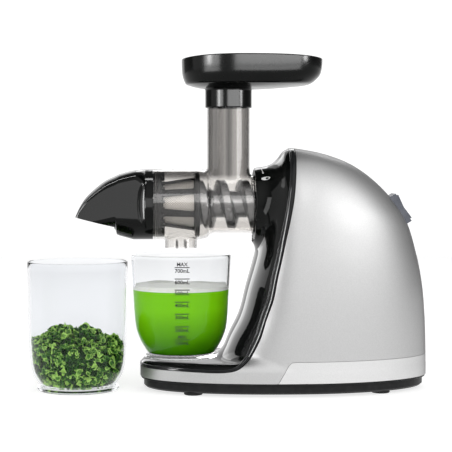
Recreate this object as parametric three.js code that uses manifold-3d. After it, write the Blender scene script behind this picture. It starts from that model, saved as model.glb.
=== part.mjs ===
// Horizontal masticating juicer with its juice cup and pulp cup, in millimetres, +Z up.
// While modelling, X = 0 is the juice spout's axis, Y = 0 the centre plane and Z = 0 the table.
// X runs from the pulp outlet to the rear of the motor housing.
import * as THREE from 'three';
import { mergeVertices } from 'three/addons/utils/BufferGeometryUtils.js';
import Module from 'manifold-3d';

const wasm = await Module();
wasm.setup();

// Fits and facets
const clearance = 0.3; // between pieces that seat on or in each other
const turnClearance = 0.5; // between large faceted pieces that turn in each other
const overrun = 3; // how far a cutting tool runs past the piece that it cuts
const mergeTolerance = 0.0005; // points closer than this are one point
const turnedSides = 24; // facets of a large turned piece
const smallSides = 14; // facets of a small turned piece
const tinySides = 10; // facets of a foot or screw
const arcSteps = 4; // facets of a lug's or window's arc
const beltSteps = 7; // facets of each arc of the gear case
const outlineSides = 28; // facets round the housing and the tray

// Motor housing
const housingHeight = 263.7; // table to crest
const housingHalfWidth = 78;
const axisDepth = 60.7; // crest to the axis of auger and drum
const crestX = 122; // spout axis to the crest of the housing
const tailReach = 150; // crest to the rear end
const platformNoseX = -45; // front tip of the platform
const platformTop = 35.5;
const widestSetback = 3; // crest to where the housing is widest
const bandTop = 26.5; // top of the silver band round the platform
const baseTop = 15; // joint between silver shell and black base
const housingWall = 2.6;
const trimWidth = 6; // dark strip between silver shell and black panel
const trimProud = 0.8;
const lowTrimShare = 0.55; // how wide the strip stays along the platform
const platformRoundDepth = 9; // how far the platform's top edge draws in
const platformPower = 2.3; // how square the platform's front is
const tailPower = 2; // how square the housing's rear is in plan

// Upper housing, from the platform up: share of the height, then shares of the reach from the crest
// to the tail, of the reach from the crest to the flare's foot and of the half width
const housingShares = [
  [0.135, 0.999, 1.0, 1.0],
  [0.165, 0.998, 0.965, 1.0],
  [0.229, 0.995, 0.879, 0.999],
  [0.317, 0.988, 0.738, 0.993],
  [0.43, 0.97, 0.639, 0.974],
  [0.561, 0.925, 0.518, 0.93],
  [0.702, 0.847, 0.433, 0.846],
  [0.796, 0.733, 0.331, 0.754],
  [0.88, 0.583, 0.229, 0.63],
  [0.937, 0.433, 0.172, 0.498],
  [0.971, 0.285, 0.127, 0.37],
  [0.992, 0.137, 0.079, 0.226],
];
// Front edge of the silver shell seen from the side: shares of the crest's X and of the height
const edgeShares = [
  [0.465, 0.11],
  [0.533, 0.129],
  [0.587, 0.152],
  [0.638, 0.193],
  [0.68, 0.235],
  [0.734, 0.315],
  [0.792, 0.394],
  [0.826, 0.474],
  [0.866, 0.554],
  [0.903, 0.633],
  [0.943, 0.713],
  [0.977, 0.793],
  [0.998, 0.872],
  [1.016, 0.971],
];
const edgeStartShare = 0.36; // where the edge leaves the band's top, as a share of the crest's X

// Rear skirt panel
const skirtTop = 38;
const skirtReach = 21; // crest forward to its front edge at the base
const skirtSlant = 13; // how far that edge leans back to its top

// Black base, feet and screws
const baseInset = 4;
const baseLipInset = 1;
const baseLipHeight = 2;
const baseWall = 2.5;
const footHeight = 2.7;
const footRadius = 10;
const footEndInset = 57; // from the housing's front and rear ends to the feet
const footFrontInset = 33; // from the housing's side to the front feet
const footRearInset = 36;
const screwRadius = 1.8;
const screwHeadRadius = 4.2;
const screwHeadHeight = 1;
const screwHeadDepth = 0.3; // screw head below the foot's rolling face
const screwLength = 9;
const bossRadius = 6;
const bossHeight = 8;
const ventCount = 7;
const ventWidth = 3;
const ventLength = 46;
const ventPitch = 8;
const ventSetback = 28; // crest to the first vent

// Neck, lock ring and shaft seal
const neckReach = 8; // crest forward to the end of the neck
const neckLength = 34;
const neckBore = 37; // radius that holds the lock ring
const neckCover = 8.7; // crest to the top of the neck's wide end
// Neck's outside: share of its length, share of its radius at the housing
const neckShares = [
  [0, 0.751],
  [0.025, 0.764],
  [0.27, 0.789],
  [0.53, 0.822],
  [0.79, 0.885],
  [0.91, 0.94],
  [1, 1],
];
const lockFlange = 3.4; // thickness of the ring's front flange
const lockGroove = 6.5; // length of the groove that the lugs turn in
const lockGrooveRadius = 34;
const lockBack = 3; // thickness of its rear wall
const sealWidth = 2.7; // radial width of a shaft seal
const lugCount = 3;
const topDegrees = 90; // from +Y round to the top
const lugSpanDegrees = 28;
const notchSpanDegrees = 36;
const lockTurnDegrees = 40; // from open to locked

// Drum with barrel, chute and spout
const drumFrontX = -30.4;
const bellRadius = 38.7;
const bellLength = 52.4;
const shoulderLength = 13;
const barrelRadius = 31.8;
const drumWall = 2.6;
const shoulderSoftShare = 0.25; // how much of the bell's shoulder is rounded at each end
const spigotRadius = 30.5;
const spigotLength = 13;
const rearWall = 5;
const lugHeight = 2.9;
const lugThickness = 4.7;
const chuteReach = 27.6; // neck's mouth forward to the chute's axis
const chuteRadius = 23.4;
const chuteWall = 2.4;
const chuteLength = 123; // above the drum's axis
const spoutRadius = 17.6;
const spoutWall = 2.2;
const spoutLength = 47.8; // below the drum's axis

// Strainer
const strainerSetback = 4.4; // from the drum's front end
const strainerEndGap = 2; // to the drum's shoulder
const strainerFrontRing = 4.5;
const strainerRearRing = 5;
const coneFrontRadius = 23.4;
const coneRearRadius = 30;
const coneWall = 2.3;
const screenWall = 0.8;
const strainerMouth = 16; // radius of the hole that the pulp leaves by
const windowCount = 7;
const windowSpanDegrees = 40;
const windowMargin = 3;

// Auger and drive
const coreRadius = 14.8;
const flightRadius = 26.5;
const flightPitch = 25;
const flightShare = 0.3; // share of a pitch that the flight fills
const ridgeHeight = 1.4; // shallow ridges on the pressing cone
const screenGap = 1; // between the pressing cone and the screen
const noseRadius = 12.5;
const tipRadius = 5.6;
const tipReach = 14.6; // beyond the drum's front end
const noseReach = 5.6; // the same, for the cone behind the tip
const augerInNeck = 6; // how far the flight runs into the neck
const collarRadius = 8.5; // boss that runs in the drum's seal
const hexRadius = 6.5; // across the corners of the drive rod
const hexDepth = 20; // rod inside the auger
const hexReach = 17; // rod beyond the auger's boss
const augerSides = 16;
const augerSteps = 26;
const shaftRadius = 10;
const shaftSetback = 14; // neck's mouth to the front of the drive shaft
const socketDepth = 20;

// Gear train: the rotor's pinion drives the cluster's wheel, its pinion drives the output gear
const wheelTeeth = 40;
const pinionTeeth = 10;
const caseCover = 14.4; // crest to the top of the gear case
const caseWidthShare = 0.594; // gear case, of the housing's half width
const fastModule = 1.5;
const addendumShare = 0.9; // of the module
const dedendumShare = 1.2; // of the module
const toothRootShare = 0.3; // half a tooth's width at its root, of the pitch
const toothTipShare = 0.12; // half a tooth's width at its tip, of the pitch
const wheelWidth = 12;
const clusterWheelWidth = 10;
const pinionExtra = 2; // how much wider a pinion is than its wheel
const spindleRadius = 4; // shafts of cluster and rotor
const caseSetback = 3; // behind the end of the neck
const caseWall = 2.5;
const plateThickness = 4;
const toothRoom = 2; // free space round the gears
const gearGap = 6; // between case floor and output gear
const stageGap = 8; // between output gear and cluster wheel
const bushWidth = 4;
const bushLength = 15;
const bushBossWall = 3;

// Motor
const motorTailRoom = 23.1; // motor to the housing's rear at the height of the fan's top
const motorWidthShare = 0.513; // motor's radius, of the housing's half width
const canWall = 1.6;
const statorEndRoom = 12.5; // inside the can, at each end of the stator
const statorLip = 2; // inside the windings
const airGap = 0.6;
const windingLength = 9;
const windingInset = 5; // inside the can's radius
const windingDepth = 12;
const windingTaperShare = 0.33; // how much of its thickness the winding loses at its end, each side
const bearingRadius = 11;
const bearingWidth = 7;
const bracketInset = 6; // inside the can's radius, on each side
const bracketTopExtra = 16; // bracket above the motor's axis
const bracketFoot = 22; // length of the bracket's foot
const fanInset = 14; // inside the can's radius
const fanHub = 8;
const fanWidth = 7;
const fanDisc = 1.6;
const fanBlades = 8;
const fanBladeThickness = 1.4;
const fanGap = 2;

// Control board
const boardReach = 60; // crest forward to the front of the board
const boardLength = 46;
const boardWidth = 42;
const boardThickness = 1.6;
const capacitorRadius = 9;
const capacitorLength = 30;

// Snout, its ring, bush and seal
const lipReach = 41.6; // drum's front end to the lip of the open mouth
const capWall = 2.5;
const capSpigot = 2.4; // how far the snout reaches into the drum
const snoutReach = 84; // drum's front end to the snout's tip
// Snout from the drum to its tip: share of the way, then its top, half width, springing line of the
// arch and bottom as shares of the drum's radius, measured from the axis
const snoutShares = [
  [0, 1, 1, 0, -1],
  [0.254, 0.957, 0.957, 0, -1],
  [0.434, 0.856, 0.9, -0.05, -0.892],
  [0.472, 0.82, 0.887, -0.08, -0.858],
  [0.493, 0.797, 0.88, -0.1, -0.72],
  [0.5, 0.79, 0.878, -0.105, -1.2],
  [0.62, 0.665, 0.833, -0.21, -1.2],
  [0.76, 0.43, 0.77, -0.33, -1.2],
  [0.87, 0.2, 0.72, -0.4, -1.2],
  [0.95, -0.06, 0.67, -0.44, -1.2],
  [1, -0.3, 0.62, -0.46, -1.2],
];
const snoutPower = 2.6; // how square the arch is at the tip; it is round at the drum
const mouthFrontShare = -0.36; // lower edge of the open mouth at the tip, of the drum's radius
const mouthRearShare = -0.634; // and at the lip
const hubRadius = 11;
const hubLength = 8;
const spokeCount = 3;
const spokeThickness = 4;
const bushWall = 2;
const capSealWidth = 1.8;
const capSealThickness = 1.4;

// Hopper tray
const collarWall = 1.8;
const collarOverlap = 17.5; // how far the collar reaches down over the chute
const trayRise = 3.3; // the chute's top to the tray's underside
const trayDepth = 32.2;
const trayCrown = 3; // how much higher the long sides are than the ends
const trayWall = 2.5;
const trayFrontReach = 51.4; // from the chute's axis
const trayRearReach = 102.6; // from the chute's axis
const trayHalfWidth = 56;
const trayWidestSetback = 17.6; // chute's axis to where the tray is widest
const trayFrontPower = 2.3;
const trayRearPower = 2.8;
// Outside of the tray: share of the way from the collar to the rim's outline, share of its depth
const trayShares = [
  [0.3, 0.045],
  [0.65, 0.16],
  [0.82, 0.29],
  [0.93, 0.45],
  [0.98, 0.65],
  [1, 0.86],
  [1, 1],
];

// Cups
const cupRadius = 54.9;
const cupWall = 2.2;
const cupFloor = 3.5;
const cupFootHeight = 4.5;
const cupFootWidth = 4.5;
const cupFootChamfer = 1.1;
const cupRecess = 1.5; // how high the cup's underside stands inside its foot ring
const cupSides = 24;
const cupGap = 3.5; // between the two cups
const cupUnderSpout = 7.1; // juice cup's rim below the spout
const cupUnderDrum = 62.2; // pulp cup's rim below the drum's axis
const cupFlareGap = 1.7; // juice cup's foot to the black panel's foot
const juiceFootShare = 0.7614; // of the cup's radius
const pulpFootShare = 0.816;
// Outside of a cup: share of its radius, then share of its height
const juiceCupShares = [
  [0.696, 0.059],
  [0.814, 0.157],
  [0.891, 0.256],
  [0.925, 0.353],
  [0.964, 0.647],
];
const pulpCupShares = [
  [0.765, 0.046],
  [0.871, 0.109],
  [0.911, 0.148],
  [0.949, 0.226],
  [0.976, 0.381],
];

// Heap of chopped greens in the pulp cup
const heapEdgeShare = 0.36; // how high it lies at the cup's wall, of the cup's height
const heapTopShare = 0.485; // how high its middle is
const heapLeanShare = 0.025; // how much higher it lies at the side away from the machine
const heapLobes = 3;
const heapLobeShare = 0.012; // how much its lobes swell, of the cup's height
// Top of the heap from its edge inwards: share of the cup's inner radius, share of the heap's rise
const heapShares = [
  [1, 0],
  [0.92, 0.14],
  [0.76, 0.36],
  [0.56, 0.68],
  [0.3, 0.96],
];

// Switch on the rear slope and mains inlet
const switchHeightShare = 0.7528; // its middle, of the housing's height
const switchStand = 3.2; // how far its middle stands out from the housing's rows
const switchSteepDegrees = 3.6; // how much steeper it stands than the housing there
const bezelLength = 35;
const bezelWidth = 26;
const bezelDepth = 9.5;
const bezelProud = 2;
const bezelRim = 1.7;
const bezelBack = 1.5;
const rockerEndGap = 1.2;
const rockerProud = 4.2;
const rockerDip = 1.6;
const rockerDepth = 4;
const glandAngleDegrees = 31; // round the rear end, from the centre plane
const glandHeight = 27;
const glandFlange = 9;
const glandBarrel = 6.5;
const glandBore = 3.6;
const glandThickness = 2;
const glandDepth = 8;

// Places that follow from the sizes above
const augerHeight = housingHeight - axisDepth;
const tailX = crestX + tailReach;
const platformWidestX = crestX + widestSetback;
const skirtFrontX = crestX - skirtReach;
const neckEndX = crestX - neckReach;
const neckMouthX = neckEndX - neckLength;
const neckEndRadius = axisDepth - neckCover;
const bellEndX = drumFrontX + bellLength;
const barrelStartX = bellEndX + shoulderLength;
const chuteX = neckMouthX - chuteReach;
const chuteTop = augerHeight + chuteLength;
const spoutBottom = augerHeight - spoutLength;
const strainerFrontX = drumFrontX + strainerSetback;
const strainerRearX = bellEndX - strainerEndGap;
const juiceCupBase = platformTop + clearance;
const juiceCupHeight = spoutBottom - cupUnderSpout - juiceCupBase;
const juiceFootRadius = cupRadius * juiceFootShare;
const flareFootX = juiceFootRadius + cupFlareGap;
const pulpCupHeight = augerHeight - cupUnderDrum;
const pulpFootRadius = cupRadius * pulpFootShare;
const pulpCupX = -(2 * cupRadius + cupGap);

// Finishes: colour, roughness and metalness of each material
function finish(color, roughness, metalness) {
  return new THREE.MeshStandardMaterial({ color, roughness, metalness });
}
const silverPaint = finish(0xb9b8b6, 0.35, 0.6);
const glossBlack = finish(0x0c0c0e, 0.12, 0);
const satinBlack = finish(0x2a2a2c, 0.45, 0);
const smokeClear = finish(0x8d8983, 0.08, 0);
const clearPlastic = finish(0xe8ebec, 0.05, 0);
const darkAuger = finish(0x3a3c40, 0.3, 0);
const steel = finish(0xa8aaad, 0.3, 1);
const rubber = finish(0x1b1b1b, 0.8, 0);
const bronze = finish(0xa5773f, 0.4, 1);
const copper = finish(0xb5623a, 0.4, 1);
const nylon = finish(0xe4e0d4, 0.5, 0);
const boardGreen = finish(0x1f5a36, 0.6, 0);
const leafGreen = finish(0x4c7d29, 0.7, 0);

// A closed geometry as a solid, with its faces pointing out.
function solidOf(geometry) {
  const bare = geometry.clone();
  bare.deleteAttribute('normal');
  bare.deleteAttribute('uv');
  const merged = mergeVertices(bare, mergeTolerance);
  const corners = merged.index.array;
  const kept = [];
  for (let i = 0; i < corners.length; i += 3) {
    const [a, b, c] = [corners[i], corners[i + 1], corners[i + 2]];
    if (a !== b && b !== c && c !== a) kept.push(a, b, c);
  }
  const build = (triVerts) =>
    new wasm.Manifold(
      new wasm.Mesh({
        numProp: 3,
        vertProperties: new Float32Array(merged.attributes.position.array),
        triVerts,
      }),
    );
  const made = build(new Uint32Array(kept));
  if (made.volume() > 0) return made;
  return build(new Uint32Array(kept.reverse()));
}

function geometryOf(solid) {
  const mesh = solid.getMesh();
  const geometry = new THREE.BufferGeometry();
  geometry.setAttribute('position', new THREE.BufferAttribute(new Float32Array(mesh.vertProperties), 3));
  geometry.setIndex(new THREE.BufferAttribute(new Uint32Array(mesh.triVerts), 1));
  geometry.computeVertexNormals();
  return geometry;
}

function joined(...solids) {
  return solids.reduce((sum, solid) => sum.add(solid));
}

function cut(solid, ...tools) {
  return tools.reduce((rest, tool) => rest.subtract(tool), solid);
}

// Surface through a list of rings of equal length. A last ring of one point closes it in a tip.
// A looped surface joins its last ring to its first.
function loft(rings, looped = false) {
  const positions = [];
  const faces = [];
  const starts = [];
  for (const ring of rings) {
    starts.push(positions.length / 3);
    for (const point of ring) positions.push(point.x, point.y, point.z);
  }
  const count = rings[0].length;
  const links = looped ? rings.length : rings.length - 1;
  for (let r = 0; r < links; r += 1) {
    const low = starts[r];
    const high = starts[(r + 1) % rings.length];
    const tip = rings[(r + 1) % rings.length].length === 1;
    for (let i = 0; i < count; i += 1) {
      const next = (i + 1) % count;
      if (tip) {
        faces.push(low + i, low + next, high);
      } else {
        faces.push(low + i, low + next, high + next, low + i, high + next, high + i);
      }
    }
  }
  const cap = (ring, start, flip) => {
    const middle = positions.length / 3;
    const center = ring.reduce((sum, point) => sum.add(point), new THREE.Vector3());
    center.divideScalar(ring.length);
    positions.push(center.x, center.y, center.z);
    for (let i = 0; i < ring.length; i += 1) {
      const pair = [start + i, start + ((i + 1) % ring.length)];
      if (flip) pair.reverse();
      faces.push(middle, ...pair);
    }
  };
  if (!looped) {
    cap(rings[0], starts[0], true);
    const last = rings.length - 1;
    if (rings[last].length > 1) cap(rings[last], starts[last], false);
  }
  const geometry = new THREE.BufferGeometry();
  geometry.setAttribute('position', new THREE.BufferAttribute(new Float32Array(positions), 3));
  geometry.setIndex(faces);
  return solidOf(geometry);
}

// Turned solids: a profile lists [distance along the axis, radius].
function turned(profile, sides) {
  const points = profile.map(([along, radius]) => new THREE.Vector2(radius, along));
  const first = profile[0];
  const last = profile[profile.length - 1];
  const closed = first[1] === 0 && last[1] === 0;
  if (!closed) points.push(points[0].clone());
  return new THREE.LatheGeometry(points, sides);
}

function turnedOnX(profile, sides = turnedSides) {
  const toX = new THREE.Matrix4().makeBasis(
    new THREE.Vector3(0, 0, 1),
    new THREE.Vector3(1, 0, 0),
    new THREE.Vector3(0, 1, 0),
  );
  return solidOf(turned(profile, sides).applyMatrix4(toX));
}

function turnedOnZ(profile, sides = turnedSides) {
  return solidOf(turned(profile, sides).rotateX(Math.PI / 2));
}

// A tube or ring about X or Z, from one end to the other.
function tube(turn, from, to, inner, outer, sides) {
  return turn([[from, inner], [to, inner], [to, outer], [from, outer]], sides);
}

function rod(turn, from, to, radius, sides) {
  return turn([[from, 0], [from, radius], [to, radius], [to, 0]], sides);
}

// A small hole along X that runs past both ends of what it goes through.
function boreOnX(from, to, radius) {
  return rod(turnedOnX, from - overrun, to + overrun, radius, smallSides);
}

function box(from, to) {
  const size = new THREE.Vector3().subVectors(to, from);
  const geometry = new THREE.BoxGeometry(size.x, size.y, size.z);
  const middle = new THREE.Vector3().addVectors(from, to).divideScalar(2);
  return solidOf(geometry.translate(middle.x, middle.y, middle.z));
}

// A side outline, points in X and Z, made as wide as asked and centred on the middle plane.
function sidePrism(points, width) {
  const shape = new THREE.Shape(points);
  const geometry = new THREE.ExtrudeGeometry(shape, { depth: width, bevelEnabled: false });
  return solidOf(geometry.translate(0, 0, -width / 2).rotateX(Math.PI / 2));
}

// An outline in Y and Z, drawn out along X.
function crossPrism(shape, from, to) {
  const geometry = new THREE.ExtrudeGeometry(shape, { depth: to - from, bevelEnabled: false });
  const toX = new THREE.Matrix4().makeBasis(
    new THREE.Vector3(0, 1, 0),
    new THREE.Vector3(0, 0, 1),
    new THREE.Vector3(1, 0, 0),
  );
  return solidOf(geometry.applyMatrix4(toX).translate(from, 0, 0));
}

// Sector of a ring round X, for windows, lugs and notches. Angles run from +Y towards +Z.
function sector(from, to, middleDegrees, spanDegrees, radius) {
  const points = [new THREE.Vector2(0, 0)];
  for (let i = 0; i <= arcSteps; i += 1) {
    const degrees = middleDegrees + spanDegrees * (i / arcSteps - 1 / 2);
    const angle = THREE.MathUtils.degToRad(degrees);
    points.push(new THREE.Vector2(Math.cos(angle) * radius, Math.sin(angle) * radius));
  }
  return crossPrism(new THREE.Shape(points), from, to);
}

// A point on a superellipse whose front and rear halves have their own reach and power.
function eggPoint(angle, middle, front, rear, halfWidth, frontPower, rearPower) {
  const [cosine, sine] = [Math.cos(angle), Math.sin(angle)];
  const isRear = cosine >= 0;
  const power = isRear ? rearPower : frontPower;
  const reach = isRear ? rear - middle : middle - front;
  const x = middle + Math.sign(cosine) * reach * Math.pow(Math.abs(cosine), 2 / power);
  const y = Math.sign(sine) * halfWidth * Math.pow(Math.abs(sine), 2 / power);
  return new THREE.Vector2(x, y);
}

function eggRing(z, inset, form, sides = outlineSides) {
  const ring = [];
  for (let i = 0; i < sides; i += 1) {
    const angle = (2 * Math.PI * i) / sides;
    const point = eggPoint(
      angle,
      form.middle,
      form.front + inset,
      form.rear - inset,
      form.halfWidth - inset,
      form.frontPower,
      form.rearPower,
    );
    ring.push(new THREE.Vector3(point.x, point.y, z));
  }
  return ring;
}

// Motor housing

const platformForm = {
  middle: platformWidestX,
  front: platformNoseX,
  rear: tailX,
  halfWidth: housingHalfWidth,
  frontPower: platformPower,
  rearPower: tailPower,
};

function housingForm([, rearShare, frontShare, widthShare]) {
  return {
    middle: platformWidestX,
    front: crestX - (crestX - flareFootX) * frontShare,
    rear: crestX + (tailX - crestX) * rearShare,
    halfWidth: housingHalfWidth * widthShare,
    frontPower: platformPower,
    rearPower: tailPower,
  };
}

// Upper housing as a solid from its bottom joint up, its surface moved in by the inset.
function upperHousing(inset, bottom) {
  const usable = housingHeight - inset;
  const rings = [eggRing(bottom, inset, housingForm(housingShares[0]))];
  for (const row of housingShares) rings.push(eggRing(usable * row[0], inset, housingForm(row)));
  rings.push([new THREE.Vector3(crestX, 0, usable)]);
  return loft(rings);
}

// Low part of the housing with the platform, from its bottom joint up.
function lowerHousing(inset, bottom) {
  const top = platformTop - inset;
  const shoulder = bandTop - inset;
  const roundShares = [[0, 0], [0.45, 0.1], [0.8, 0.38], [1, 1]];
  const rings = [eggRing(bottom, inset, platformForm)];
  for (const [riseShare, drawShare] of roundShares) {
    const z = shoulder + (top - shoulder) * riseShare;
    rings.push(eggRing(z, inset + platformRoundDepth * drawShare, platformForm));
  }
  return loft(rings);
}

function housingSolid(inset, bottom) {
  return joined(upperHousing(inset, bottom), lowerHousing(inset, bottom));
}

// Points of the silver shell's front edge, moved towards the black panel by a share of the strip's
// width and by a gap. Along the platform the strip is narrower.
function frontEdge(stripShare, gap) {
  const points = [
    new THREE.Vector2(platformNoseX - overrun, bandTop),
    new THREE.Vector2(crestX * edgeStartShare, bandTop),
  ];
  for (const [xShare, zShare] of edgeShares) {
    points.push(new THREE.Vector2(crestX * xShare, housingHeight * zShare));
  }
  points.push(new THREE.Vector2(points[points.length - 1].x, housingHeight + overrun));
  return points.map((point, i) => {
    const before = points[Math.max(i - 1, 0)];
    const after = points[Math.min(i + 1, points.length - 1)];
    const along = new THREE.Vector2().subVectors(after, before).normalize();
    const width = i < 2 ? trimWidth * lowTrimShare : trimWidth;
    const distance = width * stripShare + gap;
    return new THREE.Vector2(point.x - along.y * distance, point.y + along.x * distance);
  });
}

function frontRegion(stripShare, gap) {
  const edge = frontEdge(stripShare, gap);
  const last = edge[edge.length - 1];
  const farX = platformNoseX - 2 * overrun;
  const points = [...edge, new THREE.Vector2(farX, last.y), new THREE.Vector2(farX, edge[0].y)];
  return sidePrism(points, 2 * (housingHalfWidth + overrun));
}

// Region of the rear skirt, grown by a distance at its front and top.
function skirtRegion(grow) {
  const top = skirtTop + grow;
  const bottom = -overrun;
  const rise = skirtTop - baseTop;
  const lean = (z) => skirtFrontX - grow + (skirtSlant * (z - baseTop)) / rise;
  const points = [
    new THREE.Vector2(lean(bottom), bottom),
    new THREE.Vector2(tailX + overrun, bottom),
    new THREE.Vector2(tailX + overrun, top),
    new THREE.Vector2(lean(top), top),
  ];
  return sidePrism(points, 2 * (housingHalfWidth + overrun));
}

const shellBottom = baseTop + clearance;
const housingOuter = housingSolid(0, shellBottom);
const housingInner = housingSolid(housingWall, shellBottom - overrun);
const housingShell = housingOuter.subtract(housingInner);

function neckProfile() {
  const reach = neckEndX - neckMouthX;
  return neckShares.map(([alongShare, radiusShare]) => [
    neckMouthX + reach * alongShare,
    neckEndRadius * radiusShare,
  ]);
}

const neckOuter = turnedOnX([[neckMouthX, 0], ...neckProfile(), [neckEndX, 0]]);
const neckInner = rod(turnedOnX, neckMouthX - overrun, crestX, neckBore);

// Where the housing's rear is at a height, and how far it leans forward there, on the straight line
// between the rows below and above.
function rearSlope(height) {
  const share = height / housingHeight;
  const next = housingShares.findIndex((row) => row[0] > share);
  const [below, above] = housingShares.slice(next - 1, next + 1);
  const rise = (share - below[0]) / (above[0] - below[0]);
  return {
    x: crestX + tailReach * (below[1] + (above[1] - below[1]) * rise),
    tilt: Math.atan2(tailReach * (below[1] - above[1]), housingHeight * (above[0] - below[0])),
  };
}

const switchZ = housingHeight * switchHeightShare;
const switchBack = rearSlope(switchZ);
const switchX = switchBack.x + switchStand;
const switchTilt = switchBack.tilt - THREE.MathUtils.degToRad(switchSteepDegrees);
// From the switch's own frame, +X out of the housing, to the machine's frame.
const switchPlace = new THREE.Matrix4()
  .makeTranslation(switchX, 0, switchZ)
  .multiply(new THREE.Matrix4().makeRotationY(-switchTilt));

const glandTurn = THREE.MathUtils.degToRad(glandAngleDegrees);
function glandPlace() {
  const form = housingForm(housingShares[0]);
  const reach = form.rear - form.middle;
  const x = form.middle + reach * Math.cos(glandTurn);
  const y = form.halfWidth * Math.sin(glandTurn);
  const slope = Math.atan2(Math.sin(glandTurn) / form.halfWidth, Math.cos(glandTurn) / reach);
  return { x, y, slope };
}

function placed(solid, matrix) {
  return solidOf(geometryOf(solid).applyMatrix4(matrix));
}

function sideShell() {
  const hole = box(
    new THREE.Vector3(-bezelDepth - overrun, -bezelWidth / 2 - clearance, -bezelLength / 2 - clearance),
    new THREE.Vector3(bezelDepth, bezelWidth / 2 + clearance, bezelLength / 2 + clearance),
  );
  return cut(housingShell, frontRegion(0, 0), skirtRegion(clearance), placed(hole, switchPlace));
}

function rearSkirt() {
  const place = glandPlace();
  const hole = rod(turnedOnX, -glandDepth - overrun, glandDepth, glandBarrel + clearance, smallSides);
  const matrix = new THREE.Matrix4()
    .makeTranslation(place.x, place.y, glandHeight)
    .multiply(new THREE.Matrix4().makeRotationZ(place.slope));
  return cut(housingShell.intersect(skirtRegion(0)), placed(hole, matrix));
}

function edgeTrim() {
  const proud = housingSolid(-trimProud, shellBottom).subtract(housingInner);
  const band = frontRegion(0, clearance).subtract(frontRegion(1, 0));
  return proud.intersect(band);
}

function frontPanel() {
  const neck = neckOuter.translate([0, 0, augerHeight]);
  const bore = neckInner.translate([0, 0, augerHeight]);
  const outside = joined(housingOuter, neck).intersect(frontRegion(1, clearance));
  return cut(outside, housingInner, bore);
}

// Base

function baseTray() {
  const bottom = footHeight + clearance;
  const floorTop = bottom + baseWall;
  const lipBottom = baseTop - baseLipHeight;
  const outer = loft([
    eggRing(bottom, baseInset + baseWall, platformForm),
    eggRing(floorTop, baseInset, platformForm),
    eggRing(lipBottom, baseInset, platformForm),
    eggRing(lipBottom, baseLipInset, platformForm),
    eggRing(baseTop, baseLipInset, platformForm),
  ]);
  const inner = loft([
    eggRing(floorTop, baseInset + baseWall, platformForm),
    eggRing(baseTop + overrun, baseInset + baseWall, platformForm),
  ]);
  let tray = outer.subtract(inner);
  for (const [x, y] of footPlaces) {
    const boss = rod(turnedOnZ, floorTop - baseWall / 2, floorTop + bossHeight, bossRadius, smallSides);
    const hole = rod(turnedOnZ, -overrun, bottom + screwLength, screwRadius + clearance, smallSides);
    tray = tray.add(boss.translate([x, y, 0])).subtract(hole.translate([x, y, 0]));
  }
  for (let i = 0; i < ventCount; i += 1) {
    const x = crestX + ventSetback + i * ventPitch;
    const slot = box(
      new THREE.Vector3(x, -ventLength / 2, -overrun),
      new THREE.Vector3(x + ventWidth, ventLength / 2, floorTop + overrun),
    );
    tray = tray.subtract(slot);
  }
  return tray;
}

const footFrontX = platformNoseX + footEndInset;
const footRearX = tailX - footEndInset;
const footFrontY = housingHalfWidth - footFrontInset;
const footRearY = housingHalfWidth - footRearInset;
const footPlaces = [
  [footFrontX, -footFrontY],
  [footFrontX, footFrontY],
  [footRearX, -footRearY],
  [footRearX, footRearY],
];

const screwSeat = screwHeadDepth + screwHeadHeight + clearance;

function foot() {
  return turnedOnZ([
    [0, screwHeadRadius + clearance],
    [0, footRadius],
    [footHeight, footRadius],
    [footHeight, screwRadius + clearance],
    [screwSeat, screwRadius + clearance],
    [screwSeat, screwHeadRadius + clearance],
  ], tinySides);
}

function footScrew() {
  const headTop = screwHeadDepth + screwHeadHeight;
  return turnedOnZ([
    [screwHeadDepth, 0],
    [screwHeadDepth, screwHeadRadius],
    [headTop, screwHeadRadius],
    [headTop, screwRadius],
    [headTop + screwLength, screwRadius],
    [headTop + screwLength, 0],
  ], tinySides);
}

// Neck: lock ring and seals, drawn about the auger's axis

const spigotEndX = neckMouthX + spigotLength;
const lockFrontX = neckMouthX + 2 * clearance;
const grooveStartX = lockFrontX + lockFlange;
const grooveEndX = grooveStartX + lockGroove;
const lockWallX = spigotEndX + overrun;
const lockEndX = lockWallX + lockBack;
const shaftSealOuter = shaftRadius + clearance + sealWidth;

function lockRing() {
  const guide = spigotRadius + clearance;
  const ring = turnedOnX([
    [lockFrontX, guide],
    [grooveStartX, guide],
    [grooveStartX, lockGrooveRadius],
    [grooveEndX, lockGrooveRadius],
    [grooveEndX, guide],
    [lockWallX, guide],
    [lockWallX, shaftSealOuter + clearance],
    [lockEndX, shaftSealOuter + clearance],
    [lockEndX, neckBore - clearance],
    [lockFrontX, neckBore - clearance],
  ]);
  const notches = lugAngles().map((angle) =>
    sector(
      lockFrontX - overrun,
      (grooveStartX + grooveEndX) / 2,
      angle - lockTurnDegrees,
      notchSpanDegrees,
      lockGrooveRadius,
    ),
  );
  return cut(ring, ...notches);
}

function lugAngles() {
  return Array.from({ length: lugCount }, (_, i) => topDegrees + (i * 360) / lugCount);
}

function shaftSeal() {
  return tube(turnedOnX, lockWallX, lockEndX, shaftRadius + clearance, shaftSealOuter, smallSides);
}

// Drum

const drumSealOuter = collarRadius + clearance + sealWidth;

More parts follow.
